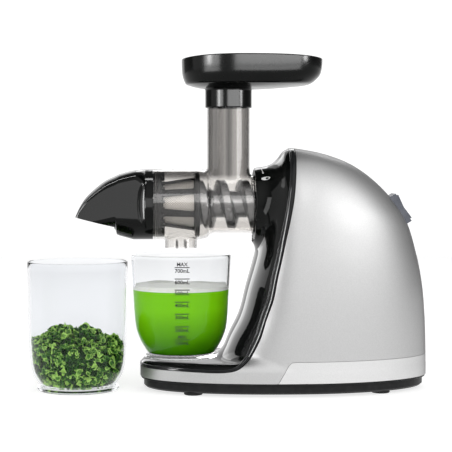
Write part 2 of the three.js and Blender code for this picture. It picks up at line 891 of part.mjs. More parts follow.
function drumHousing() {
  const shoulder = (barrelStartX - bellEndX) * shoulderSoftShare;
  const drop = (bellRadius - barrelRadius) * shoulderSoftShare;
  const outside = turnedOnX([
    [drumFrontX, 0],
    [drumFrontX, bellRadius],
    [bellEndX, bellRadius],
    [bellEndX + shoulder * 2, bellRadius - drop],
    [barrelStartX - shoulder, barrelRadius + drop],
    [barrelStartX, barrelRadius],
    [neckMouthX, barrelRadius],
    [neckMouthX, spigotRadius],
    [spigotEndX, spigotRadius],
    [spigotEndX, 0],
  ]);
  const barrelBore = barrelRadius - drumWall;
  const bore = turnedOnX([
    [drumFrontX - overrun, 0],
    [drumFrontX - overrun, bellRadius - drumWall],
    [bellEndX - drumWall / 2, bellRadius - drumWall],
    [barrelStartX - drumWall / 2, barrelBore],
    [spigotEndX - rearWall, barrelBore],
    [spigotEndX - rearWall, drumSealOuter + clearance],
    [spigotEndX + overrun, drumSealOuter + clearance],
    [spigotEndX + overrun, 0],
  ]);
  const chute = rod(turnedOnZ, barrelBore / 2, chuteLength, chuteRadius);
  const chuteBore = rod(turnedOnZ, 0, chuteLength + overrun, chuteRadius - chuteWall);
  const spout = rod(turnedOnZ, -spoutLength, -bellRadius / 2, spoutRadius, smallSides);
  const spoutBore = rod(turnedOnZ, -spoutLength - overrun, 0, spoutRadius - spoutWall, smallSides);
  const lugX = grooveStartX + clearance;
  const lugRing = tube(
    turnedOnX,
    lugX,
    lugX + lugThickness,
    barrelBore,
    spigotRadius + lugHeight,
  );
  const wedges = lugAngles().map((angle) =>
    sector(lugX - overrun, lugX + lugThickness + overrun, angle, lugSpanDegrees, 2 * spigotRadius),
  );
  const lugs = lugRing.intersect(joined(...wedges));
  const body = joined(outside, chute.translate([chuteX, 0, 0]), spout, lugs);
  return cut(body, bore, chuteBore.translate([chuteX, 0, 0]), spoutBore);
}

function drumSeal() {
  const from = spigotEndX - rearWall + clearance;
  return tube(turnedOnX, from, spigotEndX, collarRadius + clearance, drumSealOuter, smallSides);
}

// Inner radius of the strainer's cone at a place along the axis.
function coneRadius(x) {
  const share = (x - strainerFrontX) / (strainerRearX - strainerFrontX);
  return coneFrontRadius + (coneRearRadius - coneFrontRadius) * share - coneWall;
}

function strainerFrame() {
  const frontEnd = strainerFrontX + strainerFrontRing;
  const rearStart = strainerRearX - strainerRearRing;
  const rimRadius = bellRadius - drumWall - clearance;
  const faceEnd = strainerFrontX + coneWall;
  const frame = turnedOnX([
    [strainerFrontX, strainerMouth],
    [faceEnd, strainerMouth],
    [faceEnd, coneRadius(faceEnd)],
    [strainerRearX, coneRadius(strainerRearX)],
    [strainerRearX, rimRadius],
    [rearStart, rimRadius],
    [rearStart, coneRadius(rearStart) + coneWall],
    [frontEnd, coneRadius(frontEnd) + coneWall],
    [frontEnd, rimRadius],
    [strainerFrontX, rimRadius],
  ]);
  const windows = Array.from({ length: windowCount }, (_, i) =>
    sector(
      frontEnd + windowMargin,
      rearStart - windowMargin,
      2 * topDegrees + (i * 360) / windowCount,
      windowSpanDegrees,
      bellRadius,
    ),
  );
  return cut(frame, ...windows);
}

function strainerScreen() {
  const from = strainerFrontX + coneWall + clearance;
  const to = strainerRearX;
  const outer = (x) => coneRadius(x) - clearance;
  return turnedOnX([
    [from, outer(from) - screenWall],
    [to, outer(to) - screenWall],
    [to, outer(to)],
    [from, outer(from)],
  ]);
}

// Auger and drive

const augerEndX = neckMouthX + augerInNeck;
const tipFrontX = drumFrontX - tipReach;
const shaftFrontX = neckMouthX + shaftSetback;

// Radius of the auger at a place along it and an angle round it.
function augerRadius(x, angle) {
  const pressRadius = (at) => coneRadius(at) - clearance - screenWall - screenGap;
  const turns = x / flightPitch - angle / (2 * Math.PI);
  const phase = turns - Math.floor(turns);
  const crest = Math.max(0, 1 - Math.abs(phase - 1 / 2) / flightShare);
  if (x <= strainerRearX) return pressRadius(x) - ridgeHeight * (1 - crest);
  const entry = Math.min(1, (x - strainerRearX) / (barrelStartX - strainerRearX));
  const core = coreRadius + (pressRadius(strainerRearX) - ridgeHeight - coreRadius) * (1 - entry);
  const height = Math.min(1, crest * 2) * (flightRadius - core);
  return core + height;
}

function auger() {
  const rings = [];
  const ringAt = (x, radiusAt) => {
    const ring = [];
    for (let i = 0; i < augerSides; i += 1) {
      const angle = (2 * Math.PI * i) / augerSides;
      const radius = radiusAt(angle);
      ring.push(new THREE.Vector3(x, Math.cos(angle) * radius, Math.sin(angle) * radius));
    }
    rings.push(ring);
  };
  const pressX = strainerFrontX + coneWall + screenGap;
  const step = (augerEndX - pressX) / augerSteps;
  ringAt(tipFrontX, () => tipRadius);
  ringAt(tipFrontX + hubLength - capWall + clearance, () => tipRadius);
  ringAt(drumFrontX - noseReach, () => (tipRadius + noseRadius) / 2);
  ringAt(strainerFrontX, () => noseRadius);
  ringAt(pressX, () => noseRadius);
  for (let i = 0; i <= augerSteps; i += 1) {
    const x = pressX + i * step;
    ringAt(x, (angle) => augerRadius(x, angle));
  }
  ringAt(augerEndX + screenGap, () => coreRadius);
  const boss = rod(turnedOnX, augerEndX - step, spigotEndX, collarRadius, smallSides);
  const hexFrom = spigotEndX - hexDepth - clearance;
  const hexHole = crossPrism(hexagon(hexRadius + clearance), hexFrom, spigotEndX + overrun);
  return loft(rings).add(boss).subtract(hexHole);
}

function hexagon(radius) {
  const points = Array.from({ length: 6 }, (_, i) => {
    const angle = (i * Math.PI) / 3;
    return new THREE.Vector2(Math.cos(angle) * radius, Math.sin(angle) * radius);
  });
  return new THREE.Shape(points);
}

function augerStub() {
  return crossPrism(hexagon(hexRadius), spigotEndX - hexDepth, spigotEndX + hexReach);
}

const caseFrontX = neckEndX + caseSetback;
const caseFloorX = caseFrontX + plateThickness;
const outputGearX = caseFloorX + gearGap;
const clusterWheelX = outputGearX + wheelWidth + stageGap;
const caseEndX = clusterWheelX + clusterWheelWidth + plateThickness;
const coverX = caseEndX + clearance;
const bracketX = coverX + plateThickness + clearance;
const shaftEndX = outputGearX + wheelWidth + plateThickness;

function outputShaft() {
  const shaft = rod(turnedOnX, shaftFrontX, shaftEndX, shaftRadius, smallSides);
  const socketEndX = shaftFrontX + socketDepth;
  return shaft.subtract(crossPrism(hexagon(hexRadius + clearance), shaftFrontX - overrun, socketEndX));
}

// The output gear is as large as its case allows between the housing's sides and under its crest.
const caseRadius = Math.min(axisDepth - caseCover, housingHalfWidth * caseWidthShare);
const slowModule = (caseRadius - caseWall - toothRoom) / (wheelTeeth / 2 + addendumShare);
const slowPitch = (wheelTeeth * slowModule) / 2;
const slowPinionPitch = (pinionTeeth * slowModule) / 2;
const fastPitch = (wheelTeeth * fastModule) / 2;
const fastPinionPitch = (pinionTeeth * fastModule) / 2;
const clusterHeight = augerHeight - slowPitch - slowPinionPitch;
const motorHeight = clusterHeight - fastPitch - fastPinionPitch;

// Outline of a gear; a wheel has a tooth at the bottom, a pinion a gap at the top.
function gearShape(teeth, module, isPinion) {
  const pitchRadius = (teeth * module) / 2;
  const root = pitchRadius - module * dedendumShare;
  const tip = pitchRadius + module * addendumShare;
  const pitch = (2 * Math.PI) / teeth;
  const start = isPinion ? Math.PI / 2 + pitch / 2 : -Math.PI / 2;
  const points = [];
  for (let i = 0; i < teeth; i += 1) {
    const middle = start + i * pitch;
    const corners = [
      [root, -toothRootShare],
      [tip, -toothTipShare],
      [tip, toothTipShare],
      [root, toothRootShare],
    ];
    for (const [radius, share] of corners) {
      const angle = middle + share * pitch;
      points.push(new THREE.Vector2(Math.cos(angle) * radius, Math.sin(angle) * radius));
    }
  }
  return new THREE.Shape(points);
}

function gear(teeth, module, isPinion, from, width) {
  return crossPrism(gearShape(teeth, module, isPinion), from, from + width);
}

function outputGear() {
  const wheel = gear(wheelTeeth, slowModule, false, outputGearX, wheelWidth);
  return wheel.subtract(boreOnX(outputGearX, outputGearX + wheelWidth, shaftRadius + clearance));
}

function clusterShaft() {
  const pinionWidth = wheelWidth + pinionExtra;
  const pinion = gear(pinionTeeth, slowModule, true, outputGearX - pinionExtra / 2, pinionWidth);
  const shaft = rod(turnedOnX, caseFrontX, coverX + plateThickness - clearance, spindleRadius, smallSides);
  return pinion.add(shaft);
}

function clusterWheel() {
  const wheel = gear(wheelTeeth, fastModule, false, clusterWheelX, clusterWheelWidth);
  const bore = boreOnX(clusterWheelX, clusterWheelX + clusterWheelWidth, spindleRadius + clearance);
  return wheel.subtract(bore);
}

function outputBush() {
  const to = caseFloorX - clearance;
  const inner = shaftRadius + clearance;
  return tube(turnedOnX, to - bushLength, to, inner, inner + bushWidth, smallSides);
}

// Outline round a stack of circles from the lowest to the highest, as a belt would lie.
function beltShape(circles) {
  const tilts = [];
  for (let i = 0; i + 1 < circles.length; i += 1) {
    const rise = circles[i + 1].z - circles[i].z;
    tilts.push(Math.asin((circles[i].radius - circles[i + 1].radius) / rise));
  }
  const limits = [-Math.PI / 2, ...tilts, Math.PI / 2];
  const right = [];
  circles.forEach(({ z, radius }, i) => {
    for (let s = 0; s <= beltSteps; s += 1) {
      const angle = limits[i] + ((limits[i + 1] - limits[i]) * s) / beltSteps;
      right.push(new THREE.Vector2(Math.cos(angle) * radius, z + Math.sin(angle) * radius));
    }
  });
  const inner = right.slice(1, -1);
  const left = inner.map((point) => new THREE.Vector2(-point.x, point.y)).reverse();
  return new THREE.Shape([...right, ...left]);
}

function caseCircles(grow) {
  const tip = (pitchRadius, module) => pitchRadius + module * addendumShare + toothRoom + grow;
  return [
    { z: motorHeight, radius: tip(fastPinionPitch, fastModule) },
    { z: clusterHeight, radius: tip(fastPitch, fastModule) },
    { z: augerHeight, radius: tip(slowPitch, slowModule) },
  ];
}

function atHeight(solid, height) {
  return solid.translate([0, 0, height]);
}

function gearboxCase() {
  const outside = crossPrism(beltShape(caseCircles(caseWall)), caseFrontX, caseEndX);
  const inside = crossPrism(beltShape(caseCircles(0)), caseFloorX, caseEndX + overrun);
  const bushRadius = shaftRadius + 2 * clearance + bushWidth;
  const bossFrom = caseFloorX - bushLength;
  const boss = rod(turnedOnX, bossFrom, caseFloorX, bushRadius + bushBossWall, smallSides);
  const bushHole = boreOnX(bossFrom, caseFloorX, bushRadius);
  const spindleHole = boreOnX(caseFrontX, caseFloorX, spindleRadius + clearance);
  return cut(
    outside.subtract(inside).add(atHeight(boss, augerHeight)),
    atHeight(bushHole, augerHeight),
    atHeight(spindleHole, clusterHeight),
  );
}

function gearboxCover() {
  const to = coverX + plateThickness;
  const pinionRoom = fastPinionPitch + fastModule * addendumShare + clearance;
  return cut(
    crossPrism(beltShape(caseCircles(caseWall)), coverX, to),
    atHeight(boreOnX(coverX, to, spindleRadius + clearance), clusterHeight),
    atHeight(boreOnX(coverX, to, pinionRoom), motorHeight),
  );
}

// Motor, drawn about its own axis

const canRadius = housingHalfWidth * motorWidthShare;
const windingOuter = canRadius - windingInset;
const windingInner = windingOuter - windingDepth;
const statorBore = windingInner - statorLip;
const bracketHalfWidth = canRadius - bracketInset;
const fanRadius = canRadius - fanInset;
const canX = bracketX + plateThickness + clearance;
const canEndX = rearSlope(motorHeight + fanRadius).x - motorTailRoom;
const rearBracketX = canEndX + clearance;
const statorX = canX + statorEndRoom;
const statorLength = canEndX - canX - 2 * statorEndRoom;
const fanX = rearBracketX + plateThickness + fanGap + clearance;

function motorBracket(x, footFrom, footTo) {
  const bottom = footHeight + baseWall + 2 * clearance;
  const plate = box(
    new THREE.Vector3(x, -bracketHalfWidth, bottom),
    new THREE.Vector3(x + plateThickness, bracketHalfWidth, motorHeight + bracketTopExtra),
  );
  const footPlate = box(
    new THREE.Vector3(footFrom, -bracketHalfWidth, bottom),
    new THREE.Vector3(footTo, bracketHalfWidth, bottom + plateThickness),
  );
  const hole = boreOnX(x, x + plateThickness, bearingRadius + clearance);
  return plate.add(footPlate).subtract(atHeight(hole, motorHeight));
}

function frontBracket() {
  return motorBracket(bracketX, bracketX, bracketX + bracketFoot);
}

function rearBracket() {
  const end = rearBracketX + plateThickness;
  return motorBracket(rearBracketX, end - bracketFoot, end);
}

function bearing(from) {
  return tube(turnedOnX, from, from + bearingWidth, spindleRadius + clearance, bearingRadius, smallSides);
}

function winding(from) {
  const taper = (windingOuter - windingInner) * windingTaperShare;
  return turnedOnX([
    [from, windingInner],
    [from + windingLength, windingInner + taper],
    [from + windingLength, windingOuter - taper],
    [from, windingOuter],
  ]);
}

function rearWinding() {
  return winding(0).mirror([1, 0, 0]).translate([statorX - clearance, 0, 0]);
}

function rotorShaft() {
  const pinionFrom = clusterWheelX - pinionExtra / 2;
  const pinion = gear(pinionTeeth, fastModule, true, pinionFrom, clusterWheelWidth + pinionExtra);
  const shaft = rod(turnedOnX, pinionFrom, fanX + fanWidth + pinionExtra, spindleRadius, smallSides);
  return pinion.add(shaft);
}

function rotorCore() {
  return tube(turnedOnX, statorX, statorX + statorLength, spindleRadius + clearance, statorBore - airGap);
}

function coolingFan() {
  const hub = rod(turnedOnX, fanX, fanX + fanWidth, fanHub, smallSides);
  const disc = rod(turnedOnX, fanX + fanWidth - fanDisc, fanX + fanWidth, fanRadius);
  const blades = Array.from({ length: fanBlades }, (_, i) =>
    box(
      new THREE.Vector3(fanX, -fanBladeThickness / 2, fanHub - fanDisc),
      new THREE.Vector3(fanX + fanWidth - fanDisc / 2, fanBladeThickness / 2, fanRadius - fanDisc),
    ).rotate([(i * 360) / fanBlades, 0, 0]),
  );
  const bore = boreOnX(fanX, fanX + fanWidth, spindleRadius + clearance);
  return joined(hub, disc, ...blades).subtract(bore);
}

// Control board

const boardX = crestX - boardReach;
const boardBottom = footHeight + baseWall + 2 * clearance;

function controlBoard() {
  return box(
    new THREE.Vector3(boardX, -boardWidth / 2, boardBottom),
    new THREE.Vector3(boardX + boardLength, boardWidth / 2, boardBottom + boardThickness),
  );
}

function capacitor() {
  const body = rod(turnedOnX, 0, capacitorLength, capacitorRadius, smallSides);
  const x = boardX + (boardLength - capacitorLength) / 2;
  return body.translate([x, 0, boardBottom + boardThickness + clearance + capacitorRadius]);
}

// Snout, drawn about the auger's axis

const capJointX = drumFrontX - clearance;
const capEndX = drumFrontX - lipReach;
const snoutTipX = drumFrontX - snoutReach;

// Cross-section of the snout: an arch on its springing line with a half ellipse below it.
function snoutRing(row, inset) {
  const [alongShare, topShare, widthShare, springShare, bottomShare] = row;
  const far = snoutTipX + inset;
  const near = capJointX - inset;
  const x = near + (far - near) * alongShare;
  const spring = bellRadius * springShare;
  const top = bellRadius * topShare - inset - spring;
  const bottom = bellRadius * bottomShare + inset - spring;
  const halfWidth = bellRadius * widthShare - inset;
  const power = 2 + (snoutPower - 2) * Math.min(1, 2 * alongShare);
  return Array.from({ length: turnedSides }, (_, i) => {
    const angle = (2 * Math.PI * i) / turnedSides;
    const [cosine, sine] = [Math.cos(angle), Math.sin(angle)];
    const roundness = sine > 0 ? 2 / power : 1;
    const y = Math.sign(cosine) * halfWidth * Math.pow(Math.abs(cosine), roundness);
    const reach = sine > 0 ? top : -bottom;
    return new THREE.Vector3(x, y, spring + Math.sign(sine) * reach * Math.pow(Math.abs(sine), roundness));
  });
}

function snoutSolid(inset) {
  return loft(snoutShares.map((row) => snoutRing(row, inset)));
}

function snout() {
  const depth = 2 * bellRadius;
  const frontLow = bellRadius * mouthFrontShare;
  const rearLow = bellRadius * mouthRearShare;
  const underMouth = sidePrism(
    [
      new THREE.Vector2(snoutTipX - overrun, -depth),
      new THREE.Vector2(capEndX, -depth),
      new THREE.Vector2(capEndX, rearLow),
      new THREE.Vector2(snoutTipX, frontLow),
      new THREE.Vector2(snoutTipX - overrun, frontLow),
    ],
    2 * depth,
  );
  const lip = box(
    new THREE.Vector3(snoutTipX, -depth, -depth),
    new THREE.Vector3(capEndX + capWall, depth, rearLow),
  );
  const shell = cut(snoutSolid(0), snoutSolid(capWall).subtract(lip), underMouth);
  const spigotOuter = bellRadius - drumWall - turnClearance;
  const spigotInner = spigotOuter - capWall;
  const mouth = rod(turnedOnX, capJointX - capWall - overrun, capJointX + overrun, spigotInner);
  const spigot = tube(turnedOnX, capJointX - capWall, drumFrontX + capSpigot, spigotInner, spigotOuter);
  const hubFrom = tipFrontX - capWall;
  const hub = rod(turnedOnX, hubFrom, hubFrom + hubLength, hubRadius, smallSides);
  const spokes = Array.from({ length: spokeCount }, (_, i) =>
    box(
      new THREE.Vector3(hubFrom, -spokeThickness / 2, hubRadius / 2),
      new THREE.Vector3(hubFrom + hubLength, spokeThickness / 2, bellRadius - capWall / 2),
    ).rotate([(i * 360) / spokeCount, 0, 0]),
  );
  const hubHole = boreOnX(hubFrom, hubFrom + hubLength, tipBushOuter + clearance);
  return joined(shell.subtract(mouth), spigot, hub, ...spokes).subtract(hubHole);
}

const tipBushInner = tipRadius + clearance;
const tipBushOuter = tipBushInner + bushWall;

function tipBush() {
  const from = tipFrontX;
  return tube(turnedOnX, from, from + hubLength - capWall, tipBushInner, tipBushOuter, smallSides);
}

function capSeal() {
  const outer = bellRadius - drumWall - turnClearance;
  const from = drumFrontX + capSpigot + clearance;
  return tube(turnedOnX, from, from + capSealThickness, outer - capSealWidth, outer);
}

// Hopper tray, drawn about the chute's axis

const collarInner = chuteRadius + clearance;
const collarOuter = collarInner + collarWall;
const trayFloor = chuteTop + trayRise; // underside where the collar meets the tray
const collarBottom = chuteTop - collarOverlap;

// Ring of the tray between the collar's circle and the rim's outline.
function trayRing(outlineShare, z, inset, crown) {
  const ring = [];
  for (let i = 0; i < outlineSides; i += 1) {
    const angle = (2 * Math.PI * i) / outlineSides;
    const edge = eggPoint(
      angle,
      trayWidestSetback,
      inset - trayFrontReach,
      trayRearReach - inset,
      trayHalfWidth - inset,
      trayFrontPower,
      trayRearPower,
    );
    const start = new THREE.Vector2(Math.cos(angle), Math.sin(angle)).multiplyScalar(collarOuter - inset);
    const outline = start.lerp(edge, outlineShare);
    const side = Math.pow(edge.y / trayHalfWidth, 2);
    ring.push(new THREE.Vector3(outline.x, outline.y, z + crown * side));
  }
  return ring;
}

function circleRing(radius, z) {
  const ring = [];
  for (let i = 0; i < outlineSides; i += 1) {
    const angle = (2 * Math.PI * i) / outlineSides;
    ring.push(new THREE.Vector3(Math.cos(angle) * radius, Math.sin(angle) * radius, z));
  }
  return ring;
}

function hopperTray() {
  const bore = chuteRadius - chuteWall;
  const outer = trayShares.map(([outlineShare, depthShare]) =>
    trayRing(outlineShare, trayFloor + trayDepth * depthShare, 0, trayCrown * Math.pow(depthShare, 2)),
  );
  const inner = trayShares.map(([outlineShare, depthShare], i) => {
    const isRim = i === trayShares.length - 1;
    const z = trayFloor + trayDepth * depthShare + (isRim ? 0 : trayWall);
    return trayRing(outlineShare, z, trayWall, trayCrown * Math.pow(depthShare, 2));
  });
  const seat = chuteTop + clearance;
  return loft([
    circleRing(collarOuter, collarBottom),
    circleRing(collarOuter, trayFloor),
    ...outer,
    ...inner.reverse(),
    circleRing(bore, trayFloor + trayWall),
    circleRing(bore, seat),
    circleRing(collarInner, seat),
    circleRing(collarInner, collarBottom),
  ], true);
}

// Cups, drawn about their own axes

function cupOuter(height, shares) {
  return shares.map(([radiusShare, heightShare]) => [height * heightShare, cupRadius * radiusShare]);
}

// Inside of a cup, from the edge of its floor up to its rim.
function cupInner(height, shares) {
  const outer = cupOuter(height, shares);
  const wallShare = cupWall / cupRadius;
  const wall = outer.map(([z, radius], i) => {
    const steep = i / (outer.length - 1);
    return [z + cupWall * (1 - steep), radius * (1 - wallShare)];
  });
  const floorEdge = [cupRecess + cupFloor, outer[0][1] - 2 * cupWall];
  return [floorEdge, ...wall, [height, cupRadius - cupWall]];
}

function cup(height, footRadius, shares) {
  const outer = cupOuter(height, shares);
  const neckRadius = outer[0][1];
  return turnedOnZ([
    [cupRecess, 0],
    [cupRecess, footRadius - cupFootWidth],
    [0, footRadius - cupFootWidth],
    [0, footRadius - cupFootChamfer],
    [cupFootChamfer, footRadius],
    [cupFootHeight, footRadius],
    [cupFootHeight, Math.min(neckRadius, footRadius - cupFootChamfer)],
    ...outer,
    [height, cupRadius],
    ...cupInner(height, shares).reverse(),
    [cupRecess + cupFloor, 0],
  ], cupSides);
}

// Heap of greens that fills the foot of the pulp cup: its side follows the cup's inside.
function greensHeap() {
  const inner = cupInner(pulpCupHeight, pulpCupShares);
  const edge = pulpCupHeight * heapEdgeShare;
  const rise = pulpCupHeight * (heapTopShare - heapEdgeShare);
  const wallRadius = (z) => {
    const next = inner.findIndex((row) => row[0] > z);
    const [low, high] = inner.slice(next - 1, next + 1);
    return low[1] + ((high[1] - low[1]) * (z - low[0])) / (high[0] - low[0]);
  };
  const ring = (heightAt, radiusShare) =>
    Array.from({ length: cupSides }, (_, i) => {
      const angle = (2 * Math.PI * i) / cupSides;
      const z = heightAt(angle);
      const radius = (wallRadius(z) - clearance) * radiusShare;
      return new THREE.Vector3(Math.cos(angle) * radius, Math.sin(angle) * radius, z);
    });
  const [floorEdge, ...wall] = inner.filter((row) => row[0] < edge - overrun);
  const sides = wall.map(([z]) => ring(() => z, 1));
  const top = heapShares.map(([radiusShare, riseShare]) => {
    const lean = pulpCupHeight * heapLeanShare * radiusShare;
    const lobe = 4 * pulpCupHeight * heapLobeShare * radiusShare * (1 - radiusShare);
    const height = (angle) =>
      edge + rise * riseShare - lean * Math.cos(angle) + lobe * Math.sin(heapLobes * angle);
    return ring(height, radiusShare);
  });
  const floor = ring(() => floorEdge[0] + clearance, 1);
  return loft([floor, ...sides, ...top, [new THREE.Vector3(0, 0, edge + rise)]]);
}

// Switch, drawn in its own frame: +X points out of the housing

function switchBezel() {
  const halfLength = bezelLength / 2;
  const halfWidth = bezelWidth / 2;
  const block = box(
    new THREE.Vector3(-bezelDepth, -halfWidth, -halfLength),
    new THREE.Vector3(bezelProud, halfWidth, halfLength),
  );
  const well = box(
    new THREE.Vector3(-bezelDepth + bezelBack, -halfWidth + bezelRim, -halfLength + bezelRim),
    new THREE.Vector3(bezelProud + overrun, halfWidth - bezelRim, halfLength - bezelRim),
  );
  return block.subtract(well);
}

function rockerSwitch() {
  const halfLength = bezelLength / 2 - bezelRim - rockerEndGap;
  const width = bezelWidth - 2 * bezelRim - 2 * clearance;
  const points = [
    new THREE.Vector2(-rockerDepth, -halfLength / 2),
    new THREE.Vector2(0, -halfLength),
    new THREE.Vector2(rockerProud, -halfLength),
    new THREE.Vector2(rockerProud - rockerDip, 0),
    new THREE.Vector2(rockerProud, halfLength),
    new THREE.Vector2(0, halfLength),
    new THREE.Vector2(-rockerDepth, halfLength / 2),
  ];
  return sidePrism(points, width);
}

function cordGland() {
  return turnedOnX([
    [-glandDepth, glandBore],
    [glandThickness, glandBore],
    [glandThickness, glandFlange - glandThickness / 2],
    [clearance, glandFlange],
    [clearance, glandBarrel],
    [-glandDepth, glandBarrel],
  ], smallSides);
}

// Assembly

const juicer = new THREE.Group();

function add(parent, name, solid, material, place = [0, 0, 0]) {
  const mesh = new THREE.Mesh(geometryOf(solid), material);
  mesh.name = name;
  mesh.position.set(...place);
  parent.add(mesh);
  return mesh;
}

function groupAt(parent, x, y, z) {
  const group = new THREE.Group();
  group.position.set(x, y, z);
  parent.add(group);
  return group;
}

const machine = groupAt(juicer, 0, 0, 0);
add(machine, 'base_tray', baseTray(), satinBlack);
footPlaces.forEach(([x, y], i) => {
  add(machine, `foot_${i + 1}`, foot(), rubber, [x, y, 0]);
  add(machine, `foot_screw_${i + 1}`, footScrew(), steel, [x, y, 0]);
});
add(machine, 'side_shell', sideShell(), silverPaint);
add(machine, 'rear_skirt', rearSkirt(), silverPaint);
add(machine, 'edge_trim', edgeTrim(), satinBlack);
add(machine, 'front_panel', frontPanel(), glossBlack);
add(machine, 'gearbox_case', gearboxCase(), nylon);
add(machine, 'gearbox_cover', gearboxCover(), nylon);
add(machine, 'motor_front_bracket', frontBracket(), steel);
add(machine, 'motor_rear_bracket', rearBracket(), steel);
add(machine, 'control_board', controlBoard(), boardGreen);
add(machine, 'capacitor', capacitor(), satinBlack);

const switchGroup = groupAt(machine, switchX, 0, switchZ);
switchGroup.rotation.y = -switchTilt;
add(switchGroup, 'switch_bezel', switchBezel(), satinBlack);
add(switchGroup, 'rocker_switch', rockerSwitch(), satinBlack);

const gland = glandPlace();
const glandGroup = groupAt(machine, gland.x, gland.y, glandHeight);
glandGroup.rotation.z = gland.slope;
add(glandGroup, 'cord_gland', cordGland(), rubber);

const augerLine = groupAt(machine, 0, 0, augerHeight);
add(augerLine, 'lock_ring', lockRing(), satinBlack);
add(augerLine, 'shaft_seal', shaftSeal(), rubber);
add(augerLine, 'output_bush', outputBush(), bronze);
add(augerLine, 'output_shaft', outputShaft(), steel);
add(augerLine, 'output_gear', outputGear(), nylon);
add(augerLine, 'auger', auger(), darkAuger);
add(augerLine, 'auger_stub', augerStub(), steel);
add(augerLine, 'drum_housing', drumHousing(), smokeClear);
add(augerLine, 'auger_seal', drumSeal(), rubber);
add(augerLine, 'strainer_frame', strainerFrame(), satinBlack);
add(augerLine, 'strainer_screen', strainerScreen(), steel);
add(augerLine, 'end_cap', snout(), glossBlack);
add(augerLine, 'tip_bush', tipBush(), nylon);
add(augerLine, 'cap_seal', capSeal(), rubber);

const clusterLine = groupAt(machine, 0, 0, clusterHeight);
add(clusterLine, 'gear_cluster_shaft', clusterShaft(), steel);
add(clusterLine, 'gear_cluster_wheel', clusterWheel(), nylon);

const motorLine = groupAt(machine, 0, 0, motorHeight);
add(motorLine, 'motor_can', tube(turnedOnX, canX, canEndX, canRadius - canWall, canRadius), steel);
add(
  motorLine,
  'stator',
  tube(turnedOnX, statorX, statorX + statorLength, statorBore, canRadius - canWall - clearance),
  steel,
);
add(motorLine, 'front_winding', rearWinding(), copper);
add(motorLine, 'rear_winding', winding(statorX + statorLength + clearance), copper);
add(motorLine, 'front_bearing', bearing(bracketX), steel);
add(motorLine, 'rear_bearing', bearing(rearBracketX + plateThickness - bearingWidth), steel);
add(motorLine, 'rotor_shaft', rotorShaft(), steel);
add(motorLine, 'rotor_core', rotorCore(), steel);
add(motorLine, 'cooling_fan', coolingFan(), nylon);

add(groupAt(machine, chuteX, 0, 0), 'hopper_tray', hopperTray(), glossBlack);
add(
  groupAt(machine, 0, 0, juiceCupBase),
  'juice_cup',
  cup(juiceCupHeight, juiceFootRadius, juiceCupShares),
  clearPlastic,
);
const pulpCupGroup = groupAt(machine, pulpCupX, 0, 0);
add(pulpCupGroup, 'pulp_cup', cup(pulpCupHeight, pulpFootRadius, pulpCupShares), clearPlastic);
add(pulpCupGroup, 'greens_heap', greensHeap(), leafGreen);

// The part's origin is on the table, midway between the pulp cup's left side and the tail.
machine.position.x = -(pulpCupX - cupRadius + tailX) / 2;

export default juicer;
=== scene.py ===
"""Looks of the cold press juicer with its juice cup and pulp cup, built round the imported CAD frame."""

import math
import random

import bmesh
import bpy
import numpy as np
from mathutils import Matrix, Vector
from mathutils.bvhtree import BVHTree


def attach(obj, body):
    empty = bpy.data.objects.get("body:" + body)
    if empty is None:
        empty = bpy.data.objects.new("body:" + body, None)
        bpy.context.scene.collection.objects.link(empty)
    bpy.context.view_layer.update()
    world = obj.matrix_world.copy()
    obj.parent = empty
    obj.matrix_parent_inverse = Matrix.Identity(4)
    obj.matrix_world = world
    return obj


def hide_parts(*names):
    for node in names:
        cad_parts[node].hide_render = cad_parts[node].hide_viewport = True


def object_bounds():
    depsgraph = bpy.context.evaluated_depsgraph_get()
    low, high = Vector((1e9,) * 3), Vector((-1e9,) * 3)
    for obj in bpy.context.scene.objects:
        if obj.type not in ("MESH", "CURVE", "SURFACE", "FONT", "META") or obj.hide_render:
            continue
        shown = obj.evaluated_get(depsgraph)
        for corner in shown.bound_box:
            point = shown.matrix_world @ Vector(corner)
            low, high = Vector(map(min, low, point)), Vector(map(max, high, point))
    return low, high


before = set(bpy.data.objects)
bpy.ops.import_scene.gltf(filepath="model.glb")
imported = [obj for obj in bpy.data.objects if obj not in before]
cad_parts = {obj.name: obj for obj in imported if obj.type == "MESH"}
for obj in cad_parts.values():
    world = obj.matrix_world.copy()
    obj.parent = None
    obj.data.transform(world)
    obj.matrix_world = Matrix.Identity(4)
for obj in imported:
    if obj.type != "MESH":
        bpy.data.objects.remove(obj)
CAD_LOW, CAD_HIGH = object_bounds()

# Sizes below are in millimetres, as in the part's drawing: X = 0 on the juice spout's axis, Z = 0 on
# the table. The finished pieces are in metres.
MM = 0.001

# Motor housing
HOUSING_HEIGHT = 263.7
HALF_WIDTH = 78.0
AXIS_DEPTH = 60.7
CREST_X = 122.0
TAIL_REACH = 150.0
FLARE_REACH = 78.5
PLATFORM_NOSE_X = -45.0
PLATFORM_TOP = 35.5
PLATFORM_UNDERSIDE = 2.0
BAND_TOP = 26.5
SHELL_BOTTOM = 15.3
WIDEST_SETBACK = 3.0
SETBACK_SHARE = 0.3
SHELL_WALL = 2.6
PANEL_WALL = 2.0
PLATFORM_DRAW_IN = 9.0
PLATFORM_INSETS = (16.0, 30.0, 50.0, 74.0)
PLATFORM_POWER = 2.3
TAIL_POWER = 2.0
NECK_BLEND = 16.0
PLATFORM_BLEND = 14.0
PLATFORM_BLEND_REACH = 60.0
LEAST_BLEND = 0.5
SKIN_VOXEL = 2.0
SKIRT_TOP = 38.0
SKIRT_FRONT_X = 101.0
SKIRT_SLANT = 13.0
SKIRT_CORNER = 3.5
SKIRT_GAP = 0.35
HOUSING_MIDDLE = (CREST_X, 0.0, 120.0)
# What a cut gives places that it leaves alone
KEPT_VALUE = 5.0
